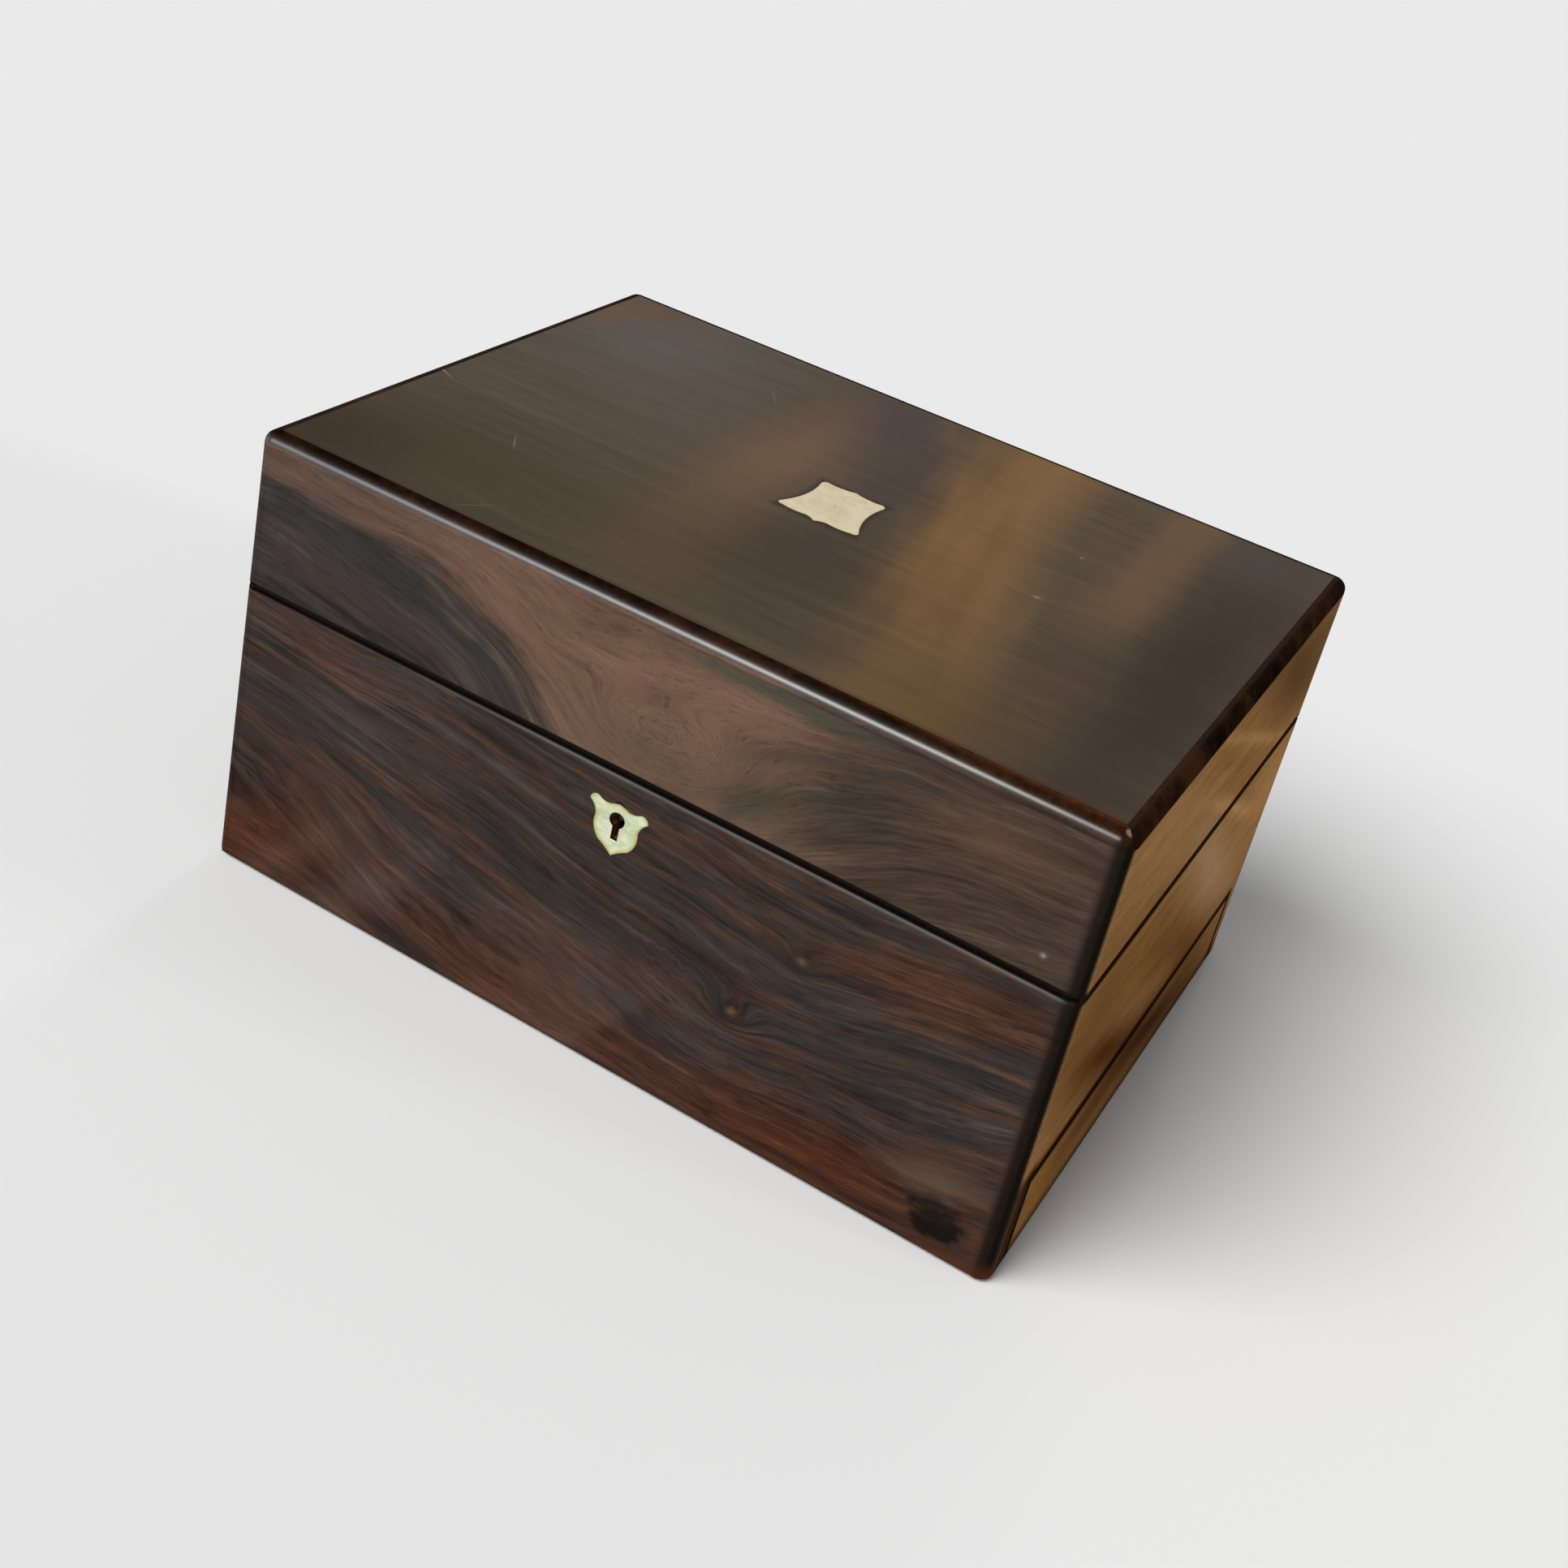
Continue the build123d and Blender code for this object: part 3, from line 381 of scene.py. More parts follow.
def base_front_figure(start):
    """The figure of the front of the base: its colour, the grain and the pores."""
    along, across, through = on_board(start, "X", "Z", "Y")
    sway = noise(joined(along / 64, across / 34, through / 30 + 3.1), 0.4)
    ripple = noise(joined(along / 16, across / 9, through / 20 + 5.0), 2.0)
    level = bell((across - 58.0) / 46.0) * 0.9 + 0.1
    lines = across + dip(along, 55.0, 0.22, 16.0) * level
    lines = lines + (sway - 0.5) * 13.0 + (ripple - 0.5) * 1.2
    curled = spot(joined(along, across), 22.0, 52.0, 24, 9, -8)
    crinkle = noise(joined(along / 2.6, across / 4.5, through / 20 + 2.0), 1.0)
    lines = lines + (crinkle - 0.5) * curled * 6.0
    knots = ((69.5, 77.0, 4.5, 5.5), (51.5, 47.0, 6.0, 9.0))
    for knot_x, knot_z, size, height in knots:
        apart = size_of((along - knot_x) * 0.7, across - knot_z)
        lines = lines + bell(apart / size) * height
    grain = streaks(along, lines, through, 1.7)
    hair = hairlines(along, lines, through, 1.7)
    pore = pores(along, lines, through, 4.0)
    field = joined(along + (sway - 0.5) * 26.0, across + (grain - 0.5) * 34.0)
    tint = noise(joined(along / 44, lines / 7, through / 40 + 14.0), 3.0, 0.55)
    places = (0.34, 0.45, 0.54, 0.66)
    grey = ramp(grain, places, (32, 29, 28), (50, 45, 43), (62, 55, 51), (84, 74, 67))
    brown = ramp(grain, places, (38, 27, 23), (60, 44, 37), (76, 56, 46), (100, 74, 60))
    plain = blend(fade(tint, 0.40, 0.60), grey, brown)
    places = (0.34, 0.47, 0.58, 0.70)
    red = ramp(grain, places, (42, 19, 11), (68, 35, 20), (88, 50, 31), (112, 70, 46))
    tan = ramp(grain, places, (56, 44, 39), (76, 62, 55), (90, 74, 66), (108, 88, 78))
    stripe = ramp(grain, places, (58, 36, 27), (82, 55, 42), (100, 70, 54), (118, 84, 66))
    worn = patches(field, (-112, 97, 36, 7, -8, 1.0), (-96, 78, 34, 5, -6, 0.5))
    warm = patches(
        field,
        (-118, 97, 22, 5, -8, 0.5),
        (120, 90, 38, 7, 10, 1.0),
        (-138, 13, 42, 22, 25, 1.0),
        (92, 13, 70, 15, 5, 1.0),
        (-20, 12, 80, 11, 0, 0.75),
    )
    colour = blend(warm, blend(worn, plain, tan), red)
    colour = blend(spot(field, 122, 90, 32, 6, 10) * 0.8, colour, stripe)
    shade = patches(
        field,
        (-18, 62, 50, 8, -11, 0.9),
        (-142, 72, 26, 14, 0, 0.5),
        (30, 88, 46, 6, 3, 0.5),
        (108, 66, 46, 3.5, 13, 0.6),
        (100, 44, 50, 3.5, 11, 0.6),
        (-80, 84, 60, 4, -6, 0.5),
    )
    colour = blend(shade * 0.62, colour, srgb(39, 38, 36))
    near = joined(along + (ripple - 0.5) * 5.0, across + (grain - 0.5) * 6.0)
    for knot_x, knot_z, *_ in knots:
        ring = (knot_x, knot_z, 5.5, 3.6, 30, 0.75, (26, 20, 15))
        heart = (knot_x + 0.6, knot_z, 2.0, 1.5, 20, 0.8, (104, 82, 60))
        colour = spotted(colour, near, ring, heart)
    colour = blend(hair * 0.60, colour, srgb(20, 17, 15))
    colour = blend(pore * 0.40, colour, srgb(24, 18, 16))
    # Painted reflections: a lighter greyish sheen and two diagonal streaks low on the left, as the
    # polish reflects the room.
    sheen = fade(along - 35.5 - (across - 46.5) * 0.77, 1.5, -6.0)
    sheen = sheen * fade(across, 62.0, 20.0) * fade(along, -60.0, -5.0)
    outer = bell((along + 137.0 - across * 0.97) / 9.0)
    inner = bell((along + 104.0 - across * 0.86) / 11.0)
    diagonal_reflections = larger(outer, inner) * fade(across, 58.0, 12.0)
    colour = blend(larger(sheen, diagonal_reflections) * 0.10, colour, srgb(150, 120, 106))
    ragged = (noise(joined(along / 5, across / 4, through / 5), 3.0) - 0.5) * 2.0
    blot = size_of((along - 131.5) / 7.6, (across - 13.0) / 6.6) + ragged
    colour = blend(fade(blot, 1.55, 0.70) * 0.98, colour, srgb(15, 11, 6))
    colour = blend(spot(field, 133, 27, 15, 7, 8) * 0.5, colour, srgb(100, 84, 68))
    lit_edge = bell((across - 107.2) / 0.65) * fade(along, -120.0, 0.0)
    colour = blend(lit_edge * 0.52, colour, srgb(122, 125, 123))
    # Painted shade: darker in the seam under the lid and along the foot.
    painted_shade = larger(fade(across, 107.4, 107.8), fade(across, 3.0, 1.0) * 0.7)
    colour = blend(painted_shade * fade(through, -109.5, -110.1), colour, shade_colour)
    foot = fade(across + (grain - 0.5) * 5.0, 9.0, 2.5) * fade(along, 122.0, 140.0)
    colour = blend(foot * 0.7, cornered(colour, along, grain), srgb(82, 42, 20))
    return colour, grain, pore


material, start = new_material("rosewood_base_front")
front_depth = on_board(start, "Y", "X", "Z")[0] + half_depth
dress(polished(material, *veneered(base_front_figure(start), front_depth)), "base_front")

# The front of the lid, cut from the next sheet of the same veneer: dark at the left, then a warm
# band that fills the dip in the figure, with grey-green lines climbing out of it to the right.
def lid_front_figure(start):
    """The figure of the front of the lid: its colour, the grain and the pores."""
    along, across, through = on_board(start, "X", "Z", "Y")
    sway = noise(joined(along / 50, across / 26, through / 30 + 9.4), 0.4)
    ripple = noise(joined(along / 14, across / 8, through / 20 + 6.0), 2.0)
    level = across + ((160.0 - across) * 0.733 + 5.3) * bell((along - 5.0) / 85.0)
    eye = size_of((along - 8.0) / 22.0, (across - 128.0) / 10.0) + (ripple - 0.5) * 0.5
    lines = level + (sway - 0.5) * 9.0 + (ripple - 0.5) * 1.2 + bell(eye) * 6.5
    grain = streaks(along, lines, through, 6.2, 1.2)
    hair = hairlines(along, lines, through, 6.2, 1.9)
    pore = pores(along, lines, through, 8.0)
    places = (0.34, 0.45, 0.55, 0.68)
    dark = ramp(grain, places, (38, 34, 34), (54, 48, 48), (68, 59, 57), (94, 80, 75))
    places = (0.30, 0.43, 0.54, 0.70)
    terracotta = ramp(grain, places, (82, 62, 51), (102, 79, 64), (114, 88, 72), (130, 100, 82))
    places = (0.34, 0.45, 0.56, 0.70)
    brown = ramp(grain, places, (44, 34, 28), (62, 50, 42), (79, 64, 54), (108, 87, 73))
    field = joined(along + (sway - 0.5) * 20.0, across + (grain - 0.5) * 20.0)
    edge = level - 147.0 + (grain - 0.5) * 20.0 + (ripple - 0.5) * 7.0 + (sway - 0.5) * 8.0
    warm = larger(fade(edge, -4.5, 6.5), fade(along + (sway - 0.5) * 20.0, -34.0, -12.0))
    colour = blend(warm * (1.0 - fade(along, -40.0, -120.0) * 0.45), dark, terracotta)
    colour = blend(spot(field, -112, 122, 34, 5, -6) * 0.5 * (1.0 - warm), colour, srgb(76, 56, 52))
    low = fade(across + (sway - 0.5) * 16.0, 134.0, 120.0) * fade(along, -44.0, 0.0)
    colour = blend(low * 0.40, colour, srgb(94, 79, 67))
    right = fade(along + (sway - 0.5) * 50.0, 36.0, 84.0)
    colour = blend(right, colour, brown)
    colour = blend(spot(field, 116, 143, 22, 9, 0) * 0.50, colour, srgb(106, 78, 62))
    climb = level - 149.0 + (grain - 0.5) * 14.0
    high_line = across - 149.0 - (along - 78.0) * 0.12 + (grain - 0.5) * 10.0
    green = larger(
        bell((edge + 5.0) / 5.0) * between(along, -175.0, -130.0, -60.0, -20.0) * 0.7,
        bell(climb / 2.4) * between(along, 26.0, 38.0, 66.0, 92.0) * 0.9,
        bell((climb - 6.0) / 1.5) * between(along, 30.0, 44.0, 70.0, 100.0) * 0.7,
        bell((climb + 6.0) / 1.5) * between(along, 44.0, 56.0, 76.0, 96.0) * 0.5,
        bell(high_line / 1.6) * between(along, 60.0, 74.0, 88.0, 110.0) * 0.6,
    )
    colour = blend(green * 0.66, colour, srgb(49, 54, 47))
    mossy = bell((across - 157.6 + (grain - 0.5) * 6.0) / 2.4)
    mossy = mossy * between(along, -2.0, 26.0, 62.0, 88.0)
    colour = blend(mossy * 0.8, colour, srgb(70, 72, 62))
    curls = noise(joined(along / 7, across / 4, through / 20 + 2.0), 3.0, 0.5, 1.3)
    curled = bell((curls - 0.5) / 0.03) * patches(
        field, (12, 129, 30, 10, 0, 1.0), (62, 132, 18, 10, 30, 0.9), (92, 152, 16, 6, 0, 0.8)
    )
    colour = blend(curled * 0.34, colour, srgb(56, 50, 42))
    hair = hair * (0.56 - warm * (1.0 - right) * 0.32 - right * 0.20)
    colour = blend(hair, colour, srgb(33, 29, 26))
    colour = blend(pore * 0.34, colour, srgb(34, 28, 25))
    fleck = (138.0, 118.0, 0.9, 0.75, 20, 0.55, (176, 168, 155))
    colour = spotted(colour, joined(along, across), fleck)
    # Painted shade: the lowest part of the lid's front is darkened along the seam.
    colour = blend(fade(across, 110.8, 110.2) * fade(through, -109.5, -110.1), colour, shade_colour)
    joint = bell((across - 160.0) / 0.35) * fade(along, -40.0, 20.0)
    colour = blend(joint * 0.35, colour, srgb(34, 26, 22))
    return cornered(colour, along, grain), grain, pore


material, start = new_material("rosewood_lid_front")
front_depth = on_board(start, "Y", "X", "Z")[0] + half_depth
dress(polished(material, *veneered(lid_front_figure(start), front_depth)), "lid_front")

# The top of the lid: straight, even grain from end to end under thick polish. Soft golden bands
# from back to front are painted reflections of warm surroundings; the rest is greyer.
material, start = new_material("rosewood_lid_top")
along, across, through = on_board(start, "X", "Y", "Z")
sway = noise(joined(along / 55, across / 45, through / 30 + 5.0), 2.0)
lines = across + (sway - 0.5) * 7.0
grain = streaks(along / 1.6, lines, through, 3.3, 0.9)
hair = hairlines(along / 1.6, lines, through, 3.3, 1.4)
pore = pores(along, lines, through, 2.0)
veil = noise(joined((along + across * 0.20) / 13, across / 90, through / 30 + 12.0), 2.0, 0.5)
field = joined(along + (sway - 0.5) * 16.0 + (veil - 0.5) * 12.0, across)
places = (0.30, 0.45, 0.55, 0.72)
colour = ramp(grain, places, (64, 54, 43), (76, 65, 53), (83, 71, 58), (96, 82, 67))
colour = spotted(
    colour,
    field,
    (-112, 70, 42, 46, 0, 0.70, (90, 86, 81)),
    (-60, 20, 44, 44, 0, 0.50, (90, 79, 70)),
    (-138, -92, 36, 36, 0, 0.85, (48, 38, 28)),
    (-95, -78, 54, 32, 0, 0.70, (67, 56, 41)),
    (-20, 86, 22, 40, -6, 0.90, (72, 60, 60)),
    (4, 34, 13, 60, 4, 0.60, (68, 57, 54)),
    (-32, 16, 15, 60, 4, 0.95, (106, 84, 64)),
    (-22, -66, 20, 40, 8, 0.45, (88, 72, 54)),
    (10, -44, 28, 44, 0, 0.60, (64, 52, 42)),
    (132, -10, 24, 150, 0, 0.92, (56, 46, 39)),
    (128, 90, 22, 22, 0, 0.40, (76, 70, 66)),
    (78, 70, 9, 60, 2, 0.45, (88, 70, 54)),
    (-138, 98, 26, 16, 0, 0.55, (98, 72, 54)),
    (-146, 74, 10, 12, 0, 0.40, (112, 80, 62)),
)
# Painted reflections: soft golden bands from back to front, a second band to the right and two thin
# golden lines.
middle = 35.0 + (half_depth - across) * 0.05 + fade(across, 70.0, -110.0) * 25.0
off = along + (veil - 0.5) * 18.0 + (sway - 0.5) * 8.0 - middle
reflection_bands = between(off, -34.0, -9.0, 10.0, 36.0) * (1.0 - fade(across, 10.0, -105.0) * 0.45)
tone = grain * 0.4 + veil * 0.6
reflected_gold = ramp(tone, (0.28, 0.50, 0.72), (108, 80, 47), (119, 89, 54), (129, 98, 61))
colour = blend(reflection_bands * 0.88, colour, reflected_gold)
left_side = fade(along + (veil - 0.5) * 12.0, 82.0, 95.0)
right_side = fade(along + (sway - 0.5) * 8.0, 116.0, 102.0)
second = left_side * right_side * fade(across, -28.0, 24.0)
thin_reflections = patches(field, (79.0, -40, 3.2, 30, 2, 0.75), (-2, 98, 5, 20, 18, 0.45))
colour = blend(larger(second * 0.76, thin_reflections), colour, srgb(104, 81, 57))
colour = spotted(
    colour,
    field,
    (88, -92, 20, 26, 0, 0.55, (90, 68, 42)),
    (103, -48, 12, 20, 0, 0.35, (80, 60, 50)),
)
colour = blend(hair * 0.14, colour, srgb(44, 36, 28))
colour = blend(pore * 0.20, colour, srgb(40, 32, 24))
tablet_side = (across - 5.0) * (across - 5.0) * 0.0095 + 11.7
halo = larger(abs(along) - tablet_side, abs(across - 0.5) - 15.2)
colour = blend(fade(halo + (grain - 0.5) * 2.0, 2.6, 0.0) * 0.5, colour, srgb(36, 28, 22))
colour = spotted(
    colour,
    joined(along, across),
    (76.5, -2.0, 1.2, 0.9, 0, 0.75, (146, 118, 84)),
    (76.0, 39.0, 0.7, 0.6, 0, 0.75, (140, 120, 94)),
    (-60.5, 65.0, 6.0, 0.28, -56, 0.75, (104, 97, 92)),
    (-96.5, -50.0, 4.0, 0.30, -58, 0.75, (120, 112, 98)),
    (-77.0, -98.0, 5.5, 0.25, 48, 0.75, (108, 94, 74)),
    (-147.5, -22.5, 5.0, 0.40, -26, 0.75, (146, 132, 108)),
    (-149.0, -20.6, 4.0, 0.45, -26, 0.75, (26, 18, 12)),
)
red_line = bell((across + 105.2) / 0.6) * fade(along, 60.0, 130.0) * grain
colour = blend(red_line * 0.5, colour, srgb(96, 56, 32))
colour = blend(fade(across, -103.4, -106.0) * 0.4, colour, srgb(48, 34, 24))
colour, grain, pore = veneered((colour, grain, pore), full_height - through)
dress(polished(material, colour, grain, pore, 0.6, 0.24, 0.010), "lid_top")

# The right-hand end and the drawer front in it, sawn from one board so that the figure runs on
# over the gaps, under clear polish. Its golden colour, redder towards the foot, is partly the wood
# and partly a painted warm reflection.
def right_figure(start):
    """The figure of the right-hand end: its colour, the grain and the pores."""
    along, across, through = on_board(start, "Y", "Z", "X")
    sway = noise(joined(along / 50, across / 26, through / 30 + 7.7), 2.0)
    lines = across + along * 0.05 + (sway - 0.5) * 10.0
    grain = streaks(along, lines, through, 8.1)
    hair = hairlines(along, lines, through, 8.1)
    pore = pores(along, lines, through, 5.0)
    field = joined(along + (sway - 0.5) * 14.0, across + (grain - 0.5) * 8.0)
    places = (0.34, 0.45, 0.55, 0.70)
    colour = ramp(grain, places, (98, 69, 36), (115, 83, 49), (125, 91, 56), (142, 106, 68))
    # These ovals are partly figure and partly painted reflection: the soft diagonal bands and light
    # streaks are warm surroundings reflected in the polish.
    colour = spotted(
        colour,
        field,
        (-70, 142, 44, 20, -20, 0.65, (134, 102, 68)),
        (74, 142, 66, 19, -27, 1.0, (78, 56, 33)),
        (30, 134, 74, 2.6, -24, 0.70, (150, 115, 68)),
        (104, 150, 30, 20, 0, 0.70, (92, 68, 42)),
        (-80, 90, 42, 26, -20, 0.85, (94, 67, 34)),
        (-16, 74, 44, 16, -36, 0.80, (94, 65, 31)),
        (34, 80, 66, 13, -36, 0.90, (144, 113, 84)),
        (98, 84, 40, 26, -20, 0.80, (148, 110, 70)),
        (34, 104, 54, 3, -27, 0.60, (166, 128, 84)),
        (-50, 52, 48, 11, -24, 0.95, (66, 34, 9)),
        (36, 44, 48, 12, -36, 0.80, (84, 54, 24)),
        (-104, 45, 10, 8, 0, 0.60, (140, 96, 60)),
        (-44, 20, 56, 12, 0, 0.75, (80, 50, 24)),
        (-80, 18, 12, 12, 0, 0.60, (122, 86, 32)),
        (20, 20, 74, 15, -12, 0.95, (46, 25, 11)),
        (84, 28, 30, 10, -27, 0.60, (112, 76, 44)),
    )
    colour = blend(hair * 0.25, colour, srgb(58, 36, 18))
    colour = blend(pore * 0.26, colour, srgb(52, 34, 18))
    # Painted shade: the drawer's gaps and the lid's seam are darkened well beyond their width, and
    # a dark red-brown shadow line runs along the drawer's top.
    gap_top = fade(abs(across - 33.8), 3.2, 1.6) * fade(abs(along), 100.5, 98.5)
    gap_side = fade(abs(abs(along) - 98.0), 3.0, 1.3) * fade(across, 35.5, 33.5)
    gap_lid = fade(abs(across - 108.8), 2.8, 1.7)
    outside = fade(through, 151.6, 152.0)
    gap_shadow_line = bell((across - 35.4 + (grain - 0.5) * 3.0) / 2.8)
    gap_shadow_line = gap_shadow_line * fade(along, 80.0, -30.0) * fade(along, -104.0, -100.0)
    colour = blend(gap_shadow_line * 0.9 * outside, colour, srgb(42, 17, 6))
    colour = blend(larger(gap_top, gap_side, gap_lid) * outside * 0.95, colour, srgb(22, 9, 3))
    # Painted shade: darker at the front corner beside the drawer and along the foot.
    post = fade(along, -94.6, -97.2) * fade(across + (grain - 0.5) * 12.0, 43.0, 36.0)
    painted_shade = larger(post * 0.9, fade(across, 11.0, 2.0) * 0.8)
    colour = blend(painted_shade * outside, colour, srgb(30, 16, 8))
    colour = blend(fade(along, -108.5, -110.4) * 0.92, colour, corner_black)
    return colour, grain, pore


material, start = new_material("rosewood_right")
right_depth = half_length - on_board(start, "X", "Y", "Z")[0]
right_end = polished(material, *veneered(right_figure(start), right_depth), gloss=0.0)
dress(right_end, "base_right", "lid_right", "drawer_front")


# The left-hand end and the back, which the photograph does not show: boards under the same veneer,
# with a plainer figure that bends once.
def plain_figure(start, run, into, seed, face, solid=0.0):
    """A plainer figure along X or Y, with the seam on the face only: colour, grain and pores.

    It goes in for the veneer's millimetre and for as much more as solid says.
    """
    along, across, through = on_board(start, run, "Z", into)
    sway = noise(joined(along / 80, across / 34, through / 30 + seed), 0.4)
    ripple = noise(joined(along / 20, across / 10, through / 20 + seed), 2.0)
    lines = across + dip(along, 20.0, 0.14, 30.0) + (sway - 0.5) * 13.0 + (ripple - 0.5) * 1.2
    grain = streaks(along, lines, through, seed)
    hair = hairlines(along, lines, through, seed)
    pore = pores(along, lines, through, seed)
    places = (0.34, 0.45, 0.55, 0.68)
    plain = ramp(grain, places, (36, 30, 28), (54, 45, 41), (68, 56, 49), (92, 75, 65))
    places = (0.34, 0.48, 0.60, 0.72)
    red = ramp(grain, places, (46, 29, 21), (72, 48, 36), (90, 63, 48), (112, 82, 63))
    warm = fade(noise(joined(along / 80, lines / 13, through / 60 + seed + 4.0), 2.0), 0.44, 0.64)
    colour = blend(hair * 0.5, blend(warm, plain, red), srgb(22, 18, 16))
    colour = blend(pore * 0.40, colour, srgb(26, 20, 17))
    depth = face - abs(through)
    # Painted shade in the seam and along the foot, as on the front.
    painted_shade = larger(fade(abs(across - seam_height), 1.5, 0.8), fade(across, 3.0, 1.0) * 0.7)
    colour = blend(painted_shade * fade(depth, 0.8, 0.4), colour, shade_colour)
    return veneered((colour, grain, pore), depth - solid)


left_board = ("Y", "X", 11.0, half_length)
back_board = ("X", "Y", 15.0, half_depth)
for name, board, parts in (
    ("rosewood_left", left_board, ("base_left", "lid_left")),
    ("rosewood_back", back_board, ("base_back", "lid_back")),
):
    material, start = new_material(name)
    dress(polished(material, *plain_figure(start, *board)), *parts)


# The edging: strips of dark rosewood let in round the lid's top and down the four corners, planed
# flush and rounded over together. The grain of the front runs on over it up to the round.
def box_place(start):
    """The box's own three directions in millimetres."""
    return on_board(start, "X", "Y", "Z")


def edging_colour(start):
    """Dark, close-grained rosewood, worn to a red brown here and there: colour, grain, fine."""
    x, y, z = box_place(start)
    grain = noise(joined(x / 14, y / 14, z / 14), 3.0, 0.6)
    fine = noise(joined(x / 2.0, y / 2.0, z / 2.0), 2.0)
    worn = fade(noise(joined(x / 26, y / 26, z / 26 + 4.0), 3.0), 0.50, 0.72)
    mixed = grain * 0.7 + fine * 0.3
    colour = ramp(mixed, (0.36, 0.50, 0.64), (15, 8, 4), (27, 16, 9), (44, 26, 15))
    return blend(worn * 0.25, colour, srgb(84, 48, 28)), grain, fine


def edged(material, colour, grain, coat):
    """The polish of the edging, smooth and thick, with a coat that lies on part of it."""
    return surface(material, {
        "Base Color": colour,
        "Roughness": grain * 0.08 + 0.18,
        "Specular IOR Level": 0.0,
        "Coat Weight": coat,
        "Coat Roughness": 0.32,
        "Coat IOR": 1.8,
    })


material, start = new_material("edging")
colour, grain, fine = edging_colour(start)
x, y, z = box_place(start)
worn_in = fade(x + (fine - 0.5) * 1.4, 149.9, 148.5) * fade(x, 146.9, 147.2) * fade(z, 163.6, 164.6)
colour = blend(worn_in * 0.5, colour, srgb(52, 40, 33))
edging = edged(material, colour, grain, fade(x, 146.0, 138.0) * 0.04)
dress(edging, "lid_edging_back", "lid_edging_left", "lid_edging_right")

material, start = new_material("edging_front")
x, y, z = box_place(start)
dark, grain, fine = edging_colour(start)
dark = blend(fade(x, 60.0, 125.0) * fine * 0.40, dark, srgb(84, 50, 28))
below = fade(z + (fine - 0.5) * 0.5, 162.2, 161.0) * fade(y, -108.6, -109.8)
colour = blend(below, dark, lid_front_figure(start)[0])
red_line = bell((y + 106.8) / 0.8) * fade(x, 30.0, 120.0) * fade(z, 163.0, 164.6) * fine
colour = blend(red_line * 0.7, colour, srgb(98, 56, 32))
chip = fade(size_of((x - 149.6) * 0.8, y + 108.2) + (fine - 0.5) * 1.6, 1.3, 0.5)
colour = blend(chip * fade(z, 163.2, 164.0) * 0.7, colour, srgb(140, 116, 92))
thick = 1.15 - fade(x, 50.0, 148.0) * 0.45
front_round = fade(y, -107.6, -108.6) * bell((z - 162.4) / thick)
front_coat = front_round * fade(x, 149.0, 146.5)
dress(edged(material, colour, grain, front_coat), "lid_edging_front")

for name, front_figure, parts in (
    ("corner_posts_base", base_front_figure, "base_corner_edging"),
    ("corner_posts_lid", lid_front_figure, "lid_corner_edging"),
):
    material, start = new_material(name)
    x, y, z = box_place(start)
    front_colour, grain, pore = front_figure(start)
    back_colour = plain_figure(start, *back_board, solid=6.0)[0]
    left_colour = plain_figure(start, *left_board, solid=6.0)[0]
    sides = blend(fade(y, -20.0, 20.0), front_colour, left_colour)
    colour = blend(fade(y, 109.4, 110.6), sides, back_colour)
    at_left = fade(x, -150.0, -151.8) * fade(y, -109.6, -107.8) * fade(y, 20.0, -20.0)
    colour = blend(at_left, colour, left_colour)
    at_right = fade(y, -109.0, -107.3) * fade(x, 147.0, 149.0) * fade(y, 110.6, 109.4)
    colour = blend(at_right, colour, right_figure(start)[0])
    dress(polished(material, colour, grain, pore, 0.4, 0.26, 0.004), parts)

# The bottom board, guides, floor and lining boards inside the base, with the drawer's and the
# tray's boards: mahogany, waxed and not polished.
boards_x = ("liner_front", "liner_back", "tray_front", "tray_back", "drawer_sides", "drawer_guides")
boards_y = ("liner_left", "liner_right", "tray_ends", "tray_ledges", "tray_dividers", "drawer_end")
floors = ("base_bottom", "compartment_floor", "tray_floor", "drawer_floor")
for name, ways, seed, parts in (
    ("mahogany_x", ("X", "Z", "Y"), 1.0, boards_x),
    ("mahogany_y", ("Y", "Z", "X"), 5.0, boards_y),
    ("mahogany_flat", ("X", "Y", "Z"), 9.0, floors),
):
    material, start = new_material(name)
    along, across, through = on_board(start, *ways)
    sway = noise(joined(along / 60, across / 20, through / 20 + seed), 2.0)
    lines = across + (sway - 0.5) * 5.0
    grain = streaks(along * 0.6, lines, through, seed, 1.0)
    pore = pores(along, lines, through, seed)
    colour = ramp(grain, (0.34, 0.50, 0.66), (98, 57, 36), (120, 73, 46), (140, 90, 58))
    colour = blend(pore * 0.5, colour, srgb(58, 30, 18))
    dress(polished(material, colour, grain, pore, 1.5, 0.48), *parts)

# The fittings: lock, link plate, hinges, springs, studs and the drawer's pin, of cast and rolled
# brass. They were lacquered once and are now dull brown in the corners. Screws hold them.
material, start = new_material("aged_brass")
tarnish = fade(noise(scaled_place(start, 140.0), 4.0, 0.6), 0.44, 0.66)
brushed = noise(scaled_place(start, 300.0, 2400.0, 2400.0), 2.0)
surface(material, {
    "Base Color": blend(tarnish * 0.5, srgb(204, 168, 104), srgb(134, 98, 54)),
    "Metallic": 1.0,
    "Roughness": tarnish * 0.22 + brushed * 0.10 + 0.22,
    "Normal": relief(brushed, 0.08, 0.0001),
})
dress(material, "lock_case", "lock_plate", "lock_spring", "lock_screws", "lock_bolt")
dress(material, "link_plate", "link_screws", "drawer_spring", "drawer_pin", "mirror_studs")
dress(material, "hinge_left_base_leaf", "hinge_right_base_leaf", "hinge_pins")
dress(material, "hinge_left_lid_leaf", "hinge_right_lid_leaf")
dress(material, "hinge_screws_base", "hinge_screws_lid")

